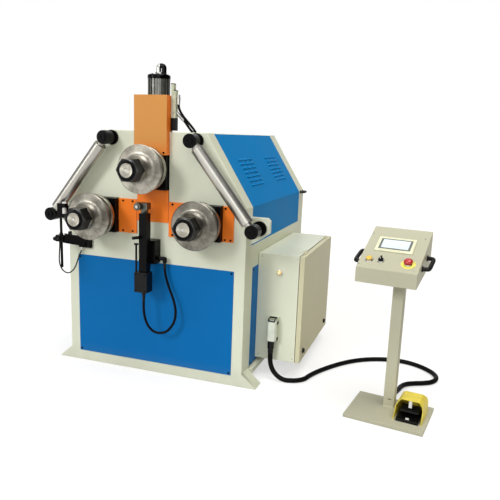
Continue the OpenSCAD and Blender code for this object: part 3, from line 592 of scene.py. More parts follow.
def add_sweep(bm, points, radius):
    """Round bar along a smooth line through guide points."""
    curve = round_curve("sweep", radius, 5)
    spline = curve.splines.new("NURBS")
    spline.points.add(len(points) - 1)
    for knot, point in zip(spline.points, points):
        knot.co = (*point, 1)
    spline.order_u = 3
    spline.use_endpoint_u = True
    holder = link("sweep", curve)
    mesh = bpy.data.meshes.new_from_object(holder.evaluated_get(bpy.context.evaluated_depsgraph_get()))
    bm.from_mesh(mesh)
    bmesh.ops.remove_doubles(bm, verts=bm.verts, dist=WELD)
    bmesh.ops.recalc_face_normals(bm, faces=bm.faces)
    bpy.data.objects.remove(holder)
    bpy.data.meshes.remove(mesh)
    bpy.data.curves.remove(curve)


def add_screw(bm, place, radius, rise, recess=0.55):
    """Cap screw head on a frame's XY plane, in millimetres, with a round socket."""
    verts = bmesh.ops.create_cone(
        bm, cap_ends=True, segments=14, radius1=radius * MM, radius2=radius * MM, depth=rise * MM,
        matrix=place @ Matrix.Translation((0, 0, rise * MM / 2)),
    )["verts"]
    out = place.col[2].to_3d()
    caps = {f for v in verts for f in v.link_faces if len(f.verts) > 4}
    face = max(caps, key=lambda f: f.calc_center_median().dot(out))
    bmesh.ops.inset_individual(bm, faces=[face], thickness=radius * (1 - recess) * MM)
    bmesh.ops.inset_individual(bm, faces=[face], thickness=0.0002, depth=-rise * 0.6 * MM)


def facing_front(x, depth, z):
    """Frame on the machine whose Z axis points out of the front."""
    return Matrix.Translation(at(x, depth, z)) @ rotation(90, "X")


def add_nut(bm, place, corner, bore, height):
    """Hexagon nut on a frame's XY plane, in millimetres, with turned-off corners and an open bore."""
    flat = corner * math.cos(math.radians(30))
    ring = 0.93 * flat
    outer = ((bore, 0), (corner - 2, 0), (corner, 2), (corner, height / 2))
    inner = ((ring, height), (bore + 6, height), (bore, height - 5))
    add_turned(bm, outer + inner, Matrix(), 72, True)
    for vert in bm.verts:
        reach = vert.co.xy.length / MM
        if reach < corner - 3:
            continue
        turn = math.atan2(vert.co.y, vert.co.x) % math.radians(60)
        far = flat / math.cos(turn - math.radians(30))
        vert.co.xy *= (reach - corner + far) / reach
        if vert.co.z > 3 * MM:
            vert.co.z = (height - (far - ring) * math.tan(math.radians(30))) * MM
    bm.normal_update()
    for face in bm.faces:
        # Chamfer faces take the second finish, the lighter oxide: partly wear, partly a painted
        # highlight
        face.material_index = int(0.2 < face.normal.z < 0.95)
    bmesh.ops.transform(bm, matrix=place, verts=bm.verts)


def add_louvre(bm, place, length, reach, rise):
    """Pressed louvre in millimetres: closed above and at its ends, open below."""
    verts = bmesh.ops.create_grid(bm, x_segments=8, y_segments=4, size=0.5)["verts"]
    faces = list({f for v in verts for f in v.link_faces})
    for vert in verts:
        ends = math.sqrt(max(0.0, 1 - (2 * vert.co.x) ** 4))
        vert.co.z = rise * ends * math.sqrt(0.5 - vert.co.y)
        vert.co.x *= length
        vert.co.y *= reach
    bmesh.ops.scale(bm, vec=(MM, MM, MM), verts=verts)
    bmesh.ops.transform(bm, matrix=place, verts=verts)
    bmesh.ops.solidify(bm, geom=faces, thickness=0.0012)


def cable(name, route, diameter, sheath, node):
    """Free cable along its route, which stands for its CAD solid."""
    points = [at(*p) for p in route]
    curve = round_curve(name, diameter / 2, 6)
    curve.resolution_u = 8
    spline = curve.splines.new("BEZIER")
    spline.bezier_points.add(len(points) - 1)
    for knot, point in zip(spline.bezier_points, points):
        knot.co = point
        knot.handle_left_type = "AUTO"
        knot.handle_right_type = "AUTO"
    curve.materials.append(finish(sheath))
    made = link(name, curve)
    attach(made, "machine")
    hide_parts(node)


class BENDER_OT_camera(Operator):
    """Sets the camera at the photograph's viewing angle"""

    bl_idname = "bender.camera"
    bl_label = "Camera"

    def execute(self, context):
        stage = context.scene.bender_stage
        yaw = math.radians(-18.13)
        pitch = math.radians(11.38)
        roll = math.radians(2.19)
        level = Vector((math.sin(yaw), math.cos(yaw), 0))
        ahead = level * math.cos(pitch) - Vector((0, 0, math.sin(pitch)))
        right = Vector((math.cos(yaw), -math.sin(yaw), 0))
        up = right.cross(ahead)
        across = math.cos(roll) * right + math.sin(roll) * up
        upward = math.cos(roll) * up - math.sin(roll) * right
        turn = Matrix((across, upward, -ahead)).transposed().to_4x4()
        data = bpy.data.cameras.new("camera")
        data.sensor_width = 36
        data.lens = stage.lens
        data.clip_end = 200
        context.scene.camera = link("camera", data)
        context.scene.camera.matrix_world = Matrix.Translation(stage.eye) @ turn
        return {"FINISHED"}


class BENDER_OT_cables(Operator):
    """Lays the cables along their routes, with the linear scale's plugs"""

    bl_idname = "bender.cables"
    bl_label = "Cables"

    def execute(self, context):
        cable("control_lead", CONTROL_ROUTE, 0.030, "cable_sheath", "control_cable")
        cable("sensor_lead", SENSOR_ROUTE, 0.015, "cable_sheath", "sensor_cable")
        cable("probe_lead", PROBE_ROUTE, 0.008, "grey_sheath", "probe_cable")
        bm = bmesh.new()
        for name, route, plug in (
            ("scale_lead_a", SCALE_ROUTE_A, (154, 12, 1702)),
            ("scale_lead_b", SCALE_ROUTE_B, (136.4, 25.6, 1605)),
        ):
            cable(name, route, 0.014, "cable_sheath", "scale_cables")
            start, end = at(*plug), at(*route[0])
            add_rod(bm, start, end, 0.009, 24, 0.001)
            add_rod(bm, start.lerp(end, 0.3), start.lerp(end, 0.55), 0.0105, 24, 0.001)
        piece("scale_plugs", bm, ["bright_zinc"])
        return {"FINISHED"}


class BENDER_OT_frames(Operator):
    """Paints the welded frames and the body between them"""

    bl_idname = "bender.frames"
    bl_label = "Frames and body"

    def execute(self, context):
        width = edges().plate
        seam = FRONT_Y + 32 * MM

        def clear_of_seam(edge):
            return any(abs(v.co.y - seam) > 0.0005 for v in edge.verts)

        for node in ("front_plate", "front_rim", "rear_frame"):
            dress(node, ["cream_coat"], width, 3, clear_of_seam)
        dress("body_shell", ["cream_coat"], edges().small)
        dress("top_cover", ["cream_coat"], edges().small)
        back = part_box("rear_frame")[1].y
        bm = bmesh.new()
        for x, z in product((-462, 0, 462), (168, 982)):
            add_screw(bm, Matrix.Translation((x * MM, back, z * MM)) @ rotation(-90, "X"), 7, 3)
        piece("rear_screws", bm, ["black_oxide"])
        return {"FINISHED"}


class BENDER_OT_panels(Operator):
    """Paints the blue panels and adds their screws"""

    bl_idname = "bender.panels"
    bl_label = "Blue panels"

    def execute(self, context):
        dress("front_panel", ["blue_coat"], edges().small)
        dress("side_panels", ["blue_coat"], edges().small)
        bm = bmesh.new()
        for x, z in product((-514, 514), (80, 696)):
            add_screw(bm, facing_front(x, -3, z), 6, 3)
        for side, depth, z in product((-1, 1), (154, 670, 1190), (100, 698)):
            add_screw(bm, Matrix.Translation(at(side * 598, depth, z)) @ rotation(side * 90, "Y"), 6, 3)
        piece("panel_screws", bm, ["black_oxide"])
        return {"FINISHED"}


class BENDER_OT_roof(Operator):
    """Paints the roof covers and presses their louvres"""

    bl_idname = "bender.roof"
    bl_label = "Roof covers"

    def execute(self, context):
        dress("roof_covers", ["roof_coat"], edges().sheet, 3, longer_than(0.3))
        (eave_x, eave_z), (ridge_x, ridge_z) = (595, 1082), (337, 1494)
        column_pitch, row_pitch, lowest, sink = 92, 29, 134, 0.0025
        slope = math.atan2(eave_x - ridge_x, ridge_z - eave_z)
        bm = bmesh.new()
        for side, start, column, row in product((-1, 1), (311, 851), range(3), range(7)):
            up = lowest + row_pitch * row
            x = side * (eave_x - up * math.sin(slope))
            middle = at(x, start + column_pitch * column, eave_z + up * math.cos(slope))
            out = Vector((side * math.cos(slope), 0, math.sin(slope)))
            rise = Vector((-side * math.sin(slope), 0, math.cos(slope)))
            turn = Matrix((rise.cross(out), rise, out)).transposed().to_4x4()
            add_louvre(bm, Matrix.Translation(middle - out * sink) @ turn, 80, 15, edges().louvre / MM)
        piece("louvres", bm, ["roof_coat"], crease=50)
        return {"FINISHED"}


class BENDER_OT_handles(Operator):
    """Bends the grab handles"""

    bl_idname = "bender.handles"
    bl_label = "Grab handles"

    def execute(self, context):
        bm = bmesh.new()
        level = 1076
        stations = ((595, 1262), (626, 1258), (629, 1295), (626, 1332), (595, 1328))
        for side in (-1, 1):
            add_sweep(bm, [at(side * x, depth, level) for x, depth in stations], 0.0085)
            for depth in (1262, 1328):
                foot = at(side * 595, depth, level), at(side * 599, depth, level)
                add_rod(bm, *foot, 0.014, 24, 0.0012)
        piece("rear_handles", bm, ["black_moulding"], ["grab_handles"])
        bm = bmesh.new()
        low = Vector((0, -42, 846))
        run = Vector((0, 146, 40))
        stations = ((0, 0.07), (27, 0.07), (37, 0.13), (37, 0.5), (37, 0.87), (27, 0.93), (0, 0.93))
        wall = 160

        def beside_desk(side, out, share):
            across = Vector((DESK_FRONT.x + side * (wall + out), 0, 0))
            return on_stand(*(across + low + run * share))

        for side in (-1, 1):
            add_sweep(bm, [beside_desk(side, *each) for each in stations], 0.0115)
            for share in (0.07, 0.93):
                foot = beside_desk(side, 0, share), beside_desk(side, 6, share)
                add_rod(bm, *foot, 0.0165, 24, 0.0015)
        piece("desk_handles", bm, ["black_moulding"], ["console_handles"])
        return {"FINISHED"}


class BENDER_OT_guides(Operator):
    """Polishes the guide bars and finishes their posts"""

    bl_idname = "bender.guides"
    bl_label = "Guide bars"

    def execute(self, context):
        dress("guide_bars", ["polished_bar"], edges().small)
        dress("guide_posts", ["black_coat"], edges().casting, 3)
        bm = bmesh.new()
        for side, (x, z) in product((-1, 1), ((276, 1449), (657, 968))):
            add_screw(bm, facing_front(side * x, -103, z), 19, 7, 0.5)
        piece("post_screws", bm, ["black_oxide"])
        return {"FINISHED"}


class BENDER_OT_bearings(Operator):
    """Finishes the bearing blocks, the top slide and its rod"""

    bl_idname = "bender.bearings"
    bl_label = "Bearing blocks and slide"

    def execute(self, context):
        front = FRONT_Y + 0.101

        def in_view(edge):
            return all(v.co.y < front for v in edge.verts)

        dress("lower_blocks", ["black_coat"], edges().casting, 2, in_view)
        dress("top_slide", ["black_coat"], edges().small, 2, in_view)
        plain("cylinder_rod", "polished_bar")
        return {"FINISHED"}


class BENDER_OT_rolls(Operator):
    """Turns the shafts and rolls and screws on their nuts"""

    bl_idname = "bender.rolls"
    bl_label = "Rolls, shafts and nuts"

    def execute(self, context):
        steels = ["black_oxide", "worn_oxide"]
        nut_corner, nut_bore = 71, 40.2
        ridges = (
            (0, -2), (5, -2), (8, 0.3), (14, 0.3), (15, 0.9), (24, 0.9), (25, 0.4),
            (33, 0.4), (34, 0.9), (38, 0.9), (39, 0), (39, -2), (0, -2.2),
        )
        for side in SIDES:
            dress(side + "_roll", [side + "_steel"])
            low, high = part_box(side + "_shaft")
            x, _, z = (low + high) / 2 / MM
            dress(side + "_shaft", ["bright_zinc"])
            nut_low, nut_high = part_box(side + "_nut")
            bm = bmesh.new()
            seat = facing_front(x, (nut_high.y - FRONT_Y) / MM, z)
            add_nut(bm, seat, nut_corner, nut_bore, (nut_high.y - nut_low.y) / MM)
            piece(side + "_nut_made", bm, steels, [side + "_nut"], body=side + "_spin")
            bm = bmesh.new()
            add_turned(bm, ridges, facing_front(x, (low.y - FRONT_Y) / MM, z), 48)
            piece(side + "_shaft_face", bm, [side + "_end"], body=side + "_spin")
        return {"FINISHED"}


class BENDER_OT_plates(Operator):
    """Paints the orange plates and the guard, with their screws"""

    bl_idname = "bender.plates"
    bl_label = "Orange plates"

    def execute(self, context):
        dress("slot_plates", ["orange_coat"], edges().small)
        dress("top_guard", ["guard_coat", "orange_coat"], edges().sheet, 3,
              regions=[(at(100, -36, 1300), at(110, 60, 1800))])
        bm = bmesh.new()
        head_across = 0.016
        heads = []
        for vert in NODES["plate_screws"].data.vertices:
            near = next((h for h in heads if (h[0] - vert.co).length < head_across), None)
            if near is None:
                heads.append([vert.co.copy(), vert.co.copy(), vert.co.copy()])
            else:
                near[1] = Vector(map(min, near[1], vert.co))
                near[2] = Vector(map(max, near[2], vert.co))
        for _, lowest, highest in heads:
            middle = (lowest + highest) / 2
            add_screw(bm, Matrix.Translation((middle.x, highest.y, middle.z)) @ rotation(90, "X"), 6, 4)
        piece("plate_screw_heads", bm, ["black_oxide"], ["plate_screws"])
        return {"FINISHED"}


class BENDER_OT_lift(Operator):
    """Builds the lift cylinder with its ribs, cap and hydraulic elbow"""

    bl_idname = "bender.lift"
    bl_label = "Lift cylinder"

    def execute(self, context):
        axis_depth = 68
        base = at(0, axis_depth, 1494)

        def bearing(face):
            out = face.calc_center_median() - base
            return math.atan2(out.y, out.x)

        bm = bmesh.new()
        add_rod(bm, base, at(0, axis_depth, 1792), 0.065, 40)
        walls = sorted((f for f in bm.faces if len(f.verts) == 4), key=bearing)
        bmesh.ops.inset_individual(bm, faces=walls[::2], thickness=0.0015, depth=-0.006)
        piece("lift_barrel", bm, ["ribbed_barrel"], ["lift_cylinder"])
        bm = bmesh.new()
        top = Matrix.Translation(at(0, axis_depth, 1791))
        add_turned(bm, [(0, 0), (64, 0), (67, 3), (67, 21), (64, 25), (58, 26), (0, 26)], top, 64)
        bolt_circle = 0.05
        for k in range(8):
            turn = math.radians(22.5 + 45 * k)
            across, back = bolt_circle * math.cos(turn), bolt_circle * math.sin(turn)
            spot = Matrix.Translation((across, back, 0.0255))
            add_screw(bm, top @ spot, 6, 4)
        piece("lift_cap", bm, ["black_oxide"])
        bm = bmesh.new()
        add_rod(bm, at(-2, axis_depth, 1816), at(-2, axis_depth, 1832), 0.02, 6, 0.001)
        leg = ((-2, 1830), (-2, 1855), (-2, 1870), (6, 1874), (14, 1874))
        add_sweep(bm, [at(x, axis_depth, z - 7) for x, z in leg], 0.014)
        piece("lift_elbow", bm, ["bright_zinc"])
        bm = bmesh.new()
        # Right leg of the elbow in black oxide: painted shade over the elbow's shaded half
        shade_leg = ((10, 1874), (20, 1875), (32, 1868), (32, 1850), (32, 1824))
        add_sweep(bm, [at(x, axis_depth, z - 7) for x, z in shade_leg], 0.0145)
        add_rod(bm, at(30, axis_depth, 1816), at(30, axis_depth, 1828), 0.0175, 6, 0.001)
        piece("lift_elbow_shade_leg", bm, ["black_oxide"])
        return {"FINISHED"}


class BENDER_OT_scale(Operator):
    """Builds the linear scale with its reading head"""

    bl_idname = "bender.scale"
    bl_label = "Linear scale"

    def execute(self, context):
        small = edges().small
        bm = bmesh.new()
        add_block(bm, (109, 5, 1572), (126, 35, 1760), None, small)
        add_block(bm, (125, 5, 1572), (139, 35, 1724), None, small)
        for x, top in ((113, 1756), (129, 1720)):
            add_block(bm, (x, 3.5, 1576), (x + 7, 6, top), None, small)
        for z in (1600, 1690):
            add_block(bm, (106, 8, z - 8), (110, 32, z + 8), None, small)
        for z in (1604, 1665, 1712):
            add_screw(bm, facing_front(124, 5, z), 4, 3)
        piece("scale_rail", bm, ["scale_coat"], ["linear_scale"])
        bm = bmesh.new()
        add_block(bm, (108, 4, 1501), (140, 36, 1573), None, 0.002)
        add_block(bm, (108, 4, 1759), (126, 36, 1765), None, 0.002)
        add_block(bm, (125, 4, 1723), (140, 36, 1728), None, 0.002)
        add_block(bm, (112, 2, 1520), (136, 5, 1556), None, small)
        piece("scale_head", bm, ["black_moulding"])
        return {"FINISHED"}


class BENDER_OT_sensor(Operator):
    """Finishes the curvature sensor"""

    bl_idname = "bender.sensor"
    bl_label = "Curvature sensor"

    def execute(self, context):
        round_off = edges().small
        dress("sensor_bracket", ["black_coat"], round_off * 2)
        dress("sensor_bar", ["black_coat", "black_oxide"], round_off,
              regions=[(at(-48, -140, 675), at(-32, -120, 839))])
        dress("sensor_plunger", ["dull_steel"], round_off)
        dress("sensor_roller", ["dull_steel"], round_off)
        dress("sensor_box", ["black_moulding"], round_off * 2, 3)
        bm = bmesh.new()
        for x, z in product((-37, 27), (565, 662)):
            add_screw(bm, facing_front(x, -145, z), 4, 2.5)
        for x, z in product((-38, 38), (730, 844)):
            add_screw(bm, facing_front(x, -70, z), 7, 6)
        add_rod(bm, at(-14, -140, 884.5), at(-60, -140, 875.5), 0.0095, 20, 0.003)
        piece("sensor_screws", bm, ["black_oxide"])
        bm = bmesh.new()
        add_screw(bm, facing_front(-27, -148, 1064), 9, 4)
        piece("roller_bolt", bm, ["bright_zinc"], body="plunger")
        bm = bmesh.new()
        gland = [(7.6, 0), (9, -14), (9.6, -15), (8.2, -34), (7.6, -34)]
        for top in ((-3, -108, 531), (97, -32, 723)):
            add_turned(bm, gland, Matrix.Translation(at(*top)), 24, True)
        piece("sensor_boots", bm, ["black_moulding"])
        return {"FINISHED"}


class BENDER_OT_probe(Operator):
    """Finishes the probe at the left roll"""

    bl_idname = "bender.probe"
    bl_label = "Probe"

    def execute(self, context):
        rod = (at(-572, -134, 640), at(-552, -116, 957.5))
        tip = (at(-550, -140, 1044.2), at(-520, -110, 1056))
        coats = ["black_coat", "black_oxide", "white_moulding"]
        dress("probe_stand", coats, edges().small, regions=[rod, tip])
        dress("probe_roller", ["white_moulding"], edges().small)
        bm = bmesh.new()
        knob_radius = 0.0105
        for k in range(8):
            turn = math.radians(45 * k)
            rim = Vector((0, math.cos(turn), math.sin(turn))) * knob_radius
            add_rod(bm, at(-615, -125, 820) + rim, at(-596, -125, 820) + rim, 0.003, 8, 0.0006)
        for z, x in product((775, 838), (-500, -436)):
            add_screw(bm, facing_front(x, -22, z), 6, 5)
        for x, depth, z, tall in ((-524, -90, 844, 24), (-566, -120, 846, 14), (-490, -48, 832, 20)):
            add_rod(bm, at(x, depth, z), at(x, depth, z + tall), 0.0115, 20, 0.002)
        add_rod(bm, at(-566, -142, 828), at(-566, -156, 828), 0.011, 20, 0.002)
        piece("probe_knurl", bm, ["black_moulding"])
        bm = bmesh.new()
        plug = [(4.1, 2), (7, 2), (7, -10), (5.5, -22), (4.1, -22)]
        add_turned(bm, plug, Matrix.Translation(at(*PROBE_ROUTE[0])), 20, True)
        piece("probe_plug", bm, ["bright_zinc"])
        return {"FINISHED"}


class BENDER_OT_works(Operator):
    """Finishes the drives, oil tank and pump inside the body"""

    bl_idname = "bender.works"
    bl_label = "Inner works"

    def execute(self, context):
        for node in ("top_drive", "lower_drives", "oil_tank"):
            plain(node, "grey_coat")
        plain("pump_motor", "blue_coat")
        return {"FINISHED"}


class BENDER_OT_cabinet(Operator):
    """Paints the cabinet and its door, with locks and lamp"""

    bl_idname = "bender.cabinet"
    bl_label = "Electrical cabinet"

    def execute(self, context):
        # The door takes the darker copy of the body paint, as painted shade
        for node, coat in (("cabinet_body", "cream_coat"), ("cabinet_door", "door_coat")):
            dress(node, [coat], edges().sheet, 3, longer_than(0.2))
        for node in ("lock_front", "lock_rear"):
            dress(node, ["black_moulding"], edges().small)
        low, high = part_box("pilot_lamp")
        middle = (low + high) / 2
        place = Matrix.Translation((middle.x, high.y, middle.z)) @ rotation(90, "X")
        bm = bmesh.new()
        dome = [(0, 7), (15, 7), (15, 14), (13.8, 20), (9.5, 25.4), (5, 27.5), (0, 28)]
        add_turned(bm, dome, place, 40)
        piece("lamp_dome", bm, ["lamp_lens"], ["pilot_lamp"])
        bm = bmesh.new()
        add_turned(bm, [(15.3, 0), (18, 0), (18, 5), (17, 8), (15.3, 8.6)], place, 40, True)
        for x, z in product((622, 842), (130, 766)):
            add_screw(bm, facing_front(x, 248, z), 4, 2)
        piece("lamp_ring", bm, ["bright_zinc"])
        bm = bmesh.new()
        outer = max(v.co.x for v in NODES["cabinet_door"].data.vertices) / MM
        for depth in (330, 985):
            place = Matrix.Translation(at(outer, depth, 165)) @ rotation(90, "Y")
            add_turned(bm, [(14.4, -1), (19, -1), (19, 1.2), (17.5, 2.6), (14.4, 2.8)], place, 32, True)
        piece("lock_rings", bm, ["black_moulding"], body="door")
        return {"FINISHED"}


class BENDER_OT_connector(Operator):
    """Builds the heavy-duty connector with its lever and gland"""

    bl_idname = "bender.connector"
    bl_label = "Connector"

    def execute(self, context):
        x, z = 717, 309
        bm = bmesh.new()
        add_block(bm, (x - 27, 180, z - 65), (x + 27, 237, z + 65), None, 0.014, 5)
        add_block(bm, (x - 27.6, 206, z - 60), (x + 27.6, 212, z + 60), None, 0.001)
        piece("connector_hood", bm, ["shell_plastic"], ["connector"])
        bm = bmesh.new()
        add_block(bm, (x - 31, 235.5, z - 73), (x + 31, 248, z + 88), None, 0.003, 3)
        for ear in (x - 28, x + 28):
            add_block(bm, (ear - 3, 222, 382), (ear + 3, 238, 397), None, 0.001)
        piece("connector_housing", bm, ["scale_coat"])
        bm = bmesh.new()
        for side, end in product((-1, 1), (z - 52, z + 52)):
            cheek = x + side * 29
            add_block(bm, (cheek - 2.5, 214, end - 9), (cheek + 2.5, 236, end + 9), None, 0.001)
            add_rod(bm, at(x + side * 26, 226, end), at(x + side * 33.5, 226, end), 0.005, 16, 0.0006)
        for across, end in product((x - 24, x + 24), (z - 66, z + 80)):
            add_screw(bm, facing_front(across, 235.5, end), 4, 2.5)
        gland = [(15.2, 46), (20, 46), (20.5, 42), (20.5, 14), (19, 12), (20.5, 10), (20.5, -2),
                 (17.4, -5), (16.4, -34), (15.2, -36)]
        add_turned(bm, gland, Matrix.Translation(at(*CONTROL_ROUTE[0])), 32, True)
        piece("connector_fittings", bm, ["black_moulding"])
        bm = bmesh.new()
        half = ((20, 230, 390), (20, 200, 391), (20, 186, 391), (20, 183, 388), (20, 183, 379),
                (12, 183, 378))
        bends = [at(x - dx, depth, up) for dx, depth, up in half]
        bends += [at(x + dx, depth, up) for dx, depth, up in reversed(half)]
        add_sweep(bm, bends, 0.0035)
        add_rod(bm, at(x - 24, 230, 390), at(x + 24, 230, 390), 0.005, 20, 0.001)
        piece("latch_bail", bm, ["black_moulding"], ["latch_lever"], body="lever")
        return {"FINISHED"}


class BENDER_OT_pedestal(Operator):
    """Paints the pedestal and adds its weld and gland"""

    bl_idname = "bender.pedestal"
    bl_label = "Pedestal"

    def execute(self, context):
        dress("pedestal", ["stand_coat"], edges().plate, 3, longer_than(0.03))
        bm = bmesh.new()
        corners = [(-46, 30), (14, 30), (14, 90), (-46, 90)]
        for start, end in zip(corners, corners[1:] + corners[:1]):
            add_rod(bm, on_stand(*start, 20.5), on_stand(*end, 20.5), 0.005, 10)
        piece("post_weld", bm, ["stand_coat"])
        bm = bmesh.new()
        place = STAND @ Matrix.Translation((-0.016, 0.09, 0.05)) @ rotation(-90, "X")
        gland = [(15.2, 0), (21, 0), (21, 16), (19, 18), (20, 19), (20, 34), (17.6, 36), (16.8, 70),
                 (15.2, 72)]
        add_turned(bm, gland, place, 32, True)
        piece("post_gland", bm, ["black_moulding"])
        return {"FINISHED"}


class BENDER_OT_console(Operator):
    """Paints the console and builds its screen, buttons and screws"""

    bl_idname = "bender.console"
    bl_label = "Console"

    def execute(self, context):
        dress("console_box", ["stand_coat"], edges().sheet, 3, longer_than(0.05))
        bm = bmesh.new()
        for across, up in product((-152, 134), (25, 313)):
            add_screw(bm, on_desk(across, up), 5, 2.5)
        piece("desk_screws", bm, ["bright_zinc"])
        place = on_desk(-4, 223)
        for name, coat, (x, y), (low, high), width, segments, nodes in (
            ("screen_bezel", "bezel_plastic", (102, 66), (0, 7), 0.003, 3, ["touch_screen"]),
            ("screen_frame", "frame_plastic", (85, 47.5), (5, 8), 0.001, 2, []),
            ("screen_panel", "screen_glass", (73, 38.5), (6, 8.4), 0.0005, 2, []),
        ):
            bm = bmesh.new()
            add_block(bm, (-x, -y, low), (x, y, high), place, width, segments)
            piece(name, bm, [coat], nodes)
        self.buttons()
        return {"FINISHED"}

    def buttons(self):
        """Emergency stop on its ring, push button and selector, with their bezels."""
        stop, push, select = on_desk(97, 72), on_desk(-108, 72), on_desk(-46, 74)
        bm = bmesh.new()
        add_turned(bm, [(11, 0), (38, 0), (38, 1.6), (37, 2.4), (11, 2.4)], stop, 56, True)
        piece("stop_ring", bm, ["ring_plastic"])
        bm = bmesh.new()
        mushroom = [(0, -22), (10, -22), (10, 13), (19, 12), (22.6, 13.6), (23.6, 17), (22.6, 23),
                    (19, 27.6), (13, 30.6), (7, 32), (0, 32.4)]
        add_turned(bm, mushroom, stop, 48)
        piece("stop_mushroom", bm, ["red_moulding"], ["stop_button"], body="stop")
        bm = bmesh.new()
        for place, bore, rim in ((stop, 11, 19), (push, 17, 22), (select, 14.6, 19)):
            add_turned(bm, [(bore, 0), (rim, 0), (rim, 3), (rim - 2, 5.6), (bore, 6)], place, 40, True)
        piece("button_bezels", bm, ["bright_zinc"])
        bm = bmesh.new()
        cap = [(0, -18), (9, -18), (9, 8.5), (15, 8.5), (16, 10), (16, 13.5), (14, 16), (10, 17.2),
               (0, 17.5)]
        add_turned(bm, cap, push, 40)
        piece("push_cap", bm, ["cap_plastic"], ["push_button"], body="push")
        dress("selector", ["black_moulding"], edges().small * 2, 3)
        bm = bmesh.new()
        add_block(bm, (-0.8, -14, 23.8), (0.8, -2, 24.9), select, 0.0002)
        piece("selector_mark", bm, ["white_moulding"], body="select")


class BENDER_OT_foot_switch(Operator):
    """Builds the foot switch with its hood and ribbed pedal"""

    bl_idname = "bender.foot_switch"
    bl_label = "Foot switch"

    def execute(self, context):
        small = edges().small
        dress("switch_hood", ["hood_plastic"], small * 1.5, 2, longer_than(0.01))
        for node in ("switch_base", "pedal"):
            dress(node, ["black_moulding"], small)
        tilt = Matrix.Translation((SWITCH_X * MM, 0.045, 0.052)) @ rotation(-7, "X")
        bm = bmesh.new()
        for y in range(-98, -17, 9):
            add_block(bm, (-42, y, 5.5), (42, y + 4, 8), STAND @ tilt, 0.0008)
        piece("pedal_ribs", bm, ["cable_sheath"], body="foot_pedal")
        bm = bmesh.new()
        add_block(bm, (SWITCH_X - 9, -36, 76), (SWITCH_X + 9, -30, 116), STAND, 0.0015)
        add_block(bm, (SWITCH_X - 9, -98, 35.5), (SWITCH_X + 9, -88, 42), STAND, 0.0005)
        piece("switch_tabs", bm, ["white_moulding"])
        return {"FINISHED"}


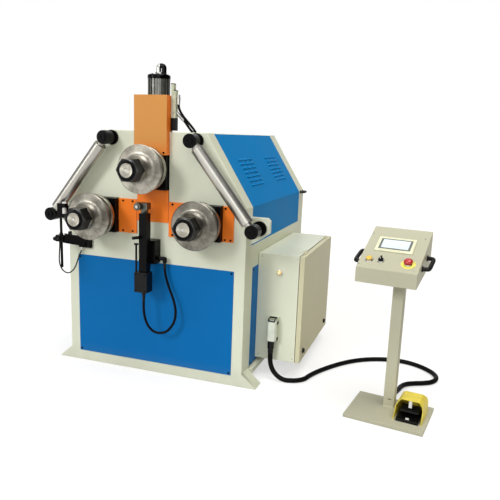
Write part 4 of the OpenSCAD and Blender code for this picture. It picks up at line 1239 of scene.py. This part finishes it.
class BENDER_OT_stage(Operator):
    """Lays the pale floor and sets the studio light"""

    bl_idname = "bender.stage"
    bl_label = "Stage"

    def execute(self, context):
        stage = context.scene.bender_stage
        self.floor()
        self.surroundings(stage.ambient)
        self.lamp("key_light", (-0.35, -0.8, 0.48), stage.key, 18)
        self.lamp("fill_light", (0.35, -0.85, 0.25), stage.fill, 36)
        self.lamp("side_light", (-0.66, -0.74, 0.06), stage.side, 12)
        self.lamp("top_light", (0.2, -0.15, 0.97), stage.top, 40)
        context.scene.view_settings.view_transform = "Standard"
        return {"FINISHED"}

    def lamp(self, name, towards, strength, spread):
        """Wide sun lamp, from a direction."""
        data = bpy.data.lights.new(name, "SUN")
        data.energy = strength
        data.angle = math.radians(spread)
        link(name, data).matrix_world = Vector(towards).to_track_quat("Z", "Y").to_matrix().to_4x4()

    def floor(self):
        """Pale floor that keeps the shadow and is white where it is lit."""
        bm = bmesh.new()
        bmesh.ops.create_grid(bm, x_segments=1, y_segments=1, size=60)
        bmesh.ops.translate(bm, vec=(0, 0, -0.0005), verts=bm.verts)
        mesh = bpy.data.meshes.new("floor")
        bm.to_mesh(mesh)
        bm.free()
        made = Finish("pale_floor", {"Specular IOR Level": 0.0, "Emission Color": (1, 1, 1, 1)})
        lift = made.join("MULTIPLY", made.seen_rays(), 0.58)
        made.feed(made.shader.inputs["Emission Strength"], lift)
        mesh.materials.append(made.close((0.45, 0.45, 0.45, 1), 1.0))
        link("floor", mesh)

    def surroundings(self, ambient):
        """White backdrop with dim flanks in reflections, and a softer light on the object."""
        world = bpy.data.worlds.new("studio")
        world.use_nodes = True
        made = Nodes(world.node_tree)
        aim = made.add("ShaderNodeTexCoord", {}).outputs["Generated"]
        across = made.add("ShaderNodeSeparateXYZ", {0: aim}).outputs["X"]
        right = made.span(across, 0.05, 0.5)
        left = made.span(across, -0.6, -0.97, 0.0, 0.7)
        glossy = made.add("ShaderNodeLightPath", {}).outputs["Is Glossy Ray"]
        dim = made.join("MULTIPLY", made.join("MAXIMUM", right, left), glossy)
        wall = made.blend(dim, (1, 1, 1, 1), (0.06, 0.06, 0.06, 1))
        warm = made.blend(right, (1.0, 0.985, 0.95, 1), (0.74, 0.63, 0.3, 1))
        light = made.tree.nodes["Background"]
        made.feed(light.inputs["Color"], warm)
        made.feed(light.inputs["Strength"], ambient)
        backdrop = made.add("ShaderNodeBackground", {"Color": wall})
        shaders = {0: made.seen_rays(), 1: light.outputs[0], 2: backdrop.outputs[0]}
        mix = made.add("ShaderNodeMixShader", shaders)
        made.feed(made.tree.nodes["World Output"].inputs["Surface"], mix.outputs[0])
        bpy.context.scene.world = world


OPERATORS = (
    BENDER_OT_camera, BENDER_OT_cables, BENDER_OT_frames, BENDER_OT_panels, BENDER_OT_roof,
    BENDER_OT_handles, BENDER_OT_guides, BENDER_OT_bearings, BENDER_OT_rolls, BENDER_OT_plates,
    BENDER_OT_lift, BENDER_OT_scale, BENDER_OT_sensor, BENDER_OT_probe, BENDER_OT_works,
    BENDER_OT_cabinet, BENDER_OT_connector, BENDER_OT_pedestal, BENDER_OT_console,
    BENDER_OT_foot_switch, BENDER_OT_stage,
)


class BENDER_PT_sidebar(Panel):
    """Lists the pieces of the roll bender"""

    bl_idname = "BENDER_PT_sidebar"
    bl_label = "Roll bender"
    bl_space_type = "VIEW_3D"
    bl_region_type = "UI"
    bl_category = "Roll bender"

    def draw(self, context):
        scene = context.scene
        for group in (scene.bender_paints, scene.bender_edges, scene.bender_stage):
            box = self.layout.box()
            for name in group.bl_rna.properties.keys():
                if name not in ("rna_type", "name"):
                    box.prop(group, name)
        for operator in OPERATORS:
            self.layout.operator(operator.bl_idname)


GROUPS = {
    "bender_paints": BenderPaints,
    "bender_edges": BenderEdges,
    "bender_stage": BenderStage,
}


def register():
    """Registers the classes and puts the settings on the scene."""
    for each in (*GROUPS.values(), *OPERATORS, BENDER_PT_sidebar):
        bpy.utils.register_class(each)
    for name, group in GROUPS.items():
        setattr(bpy.types.Scene, name, PointerProperty(type=group))


def unregister():
    """Takes the settings off the scene and unregisters the classes."""
    for name in GROUPS:
        delattr(bpy.types.Scene, name)
    for each in (BENDER_PT_sidebar, *reversed(OPERATORS), *GROUPS.values()):
        bpy.utils.unregister_class(each)


def main():
    """Makes every piece in order."""
    register()
    for operator in OPERATORS:
        group, name = operator.bl_idname.split(".")
        getattr(getattr(bpy.ops, group), name)()


if __name__ == "__main__":
    main()
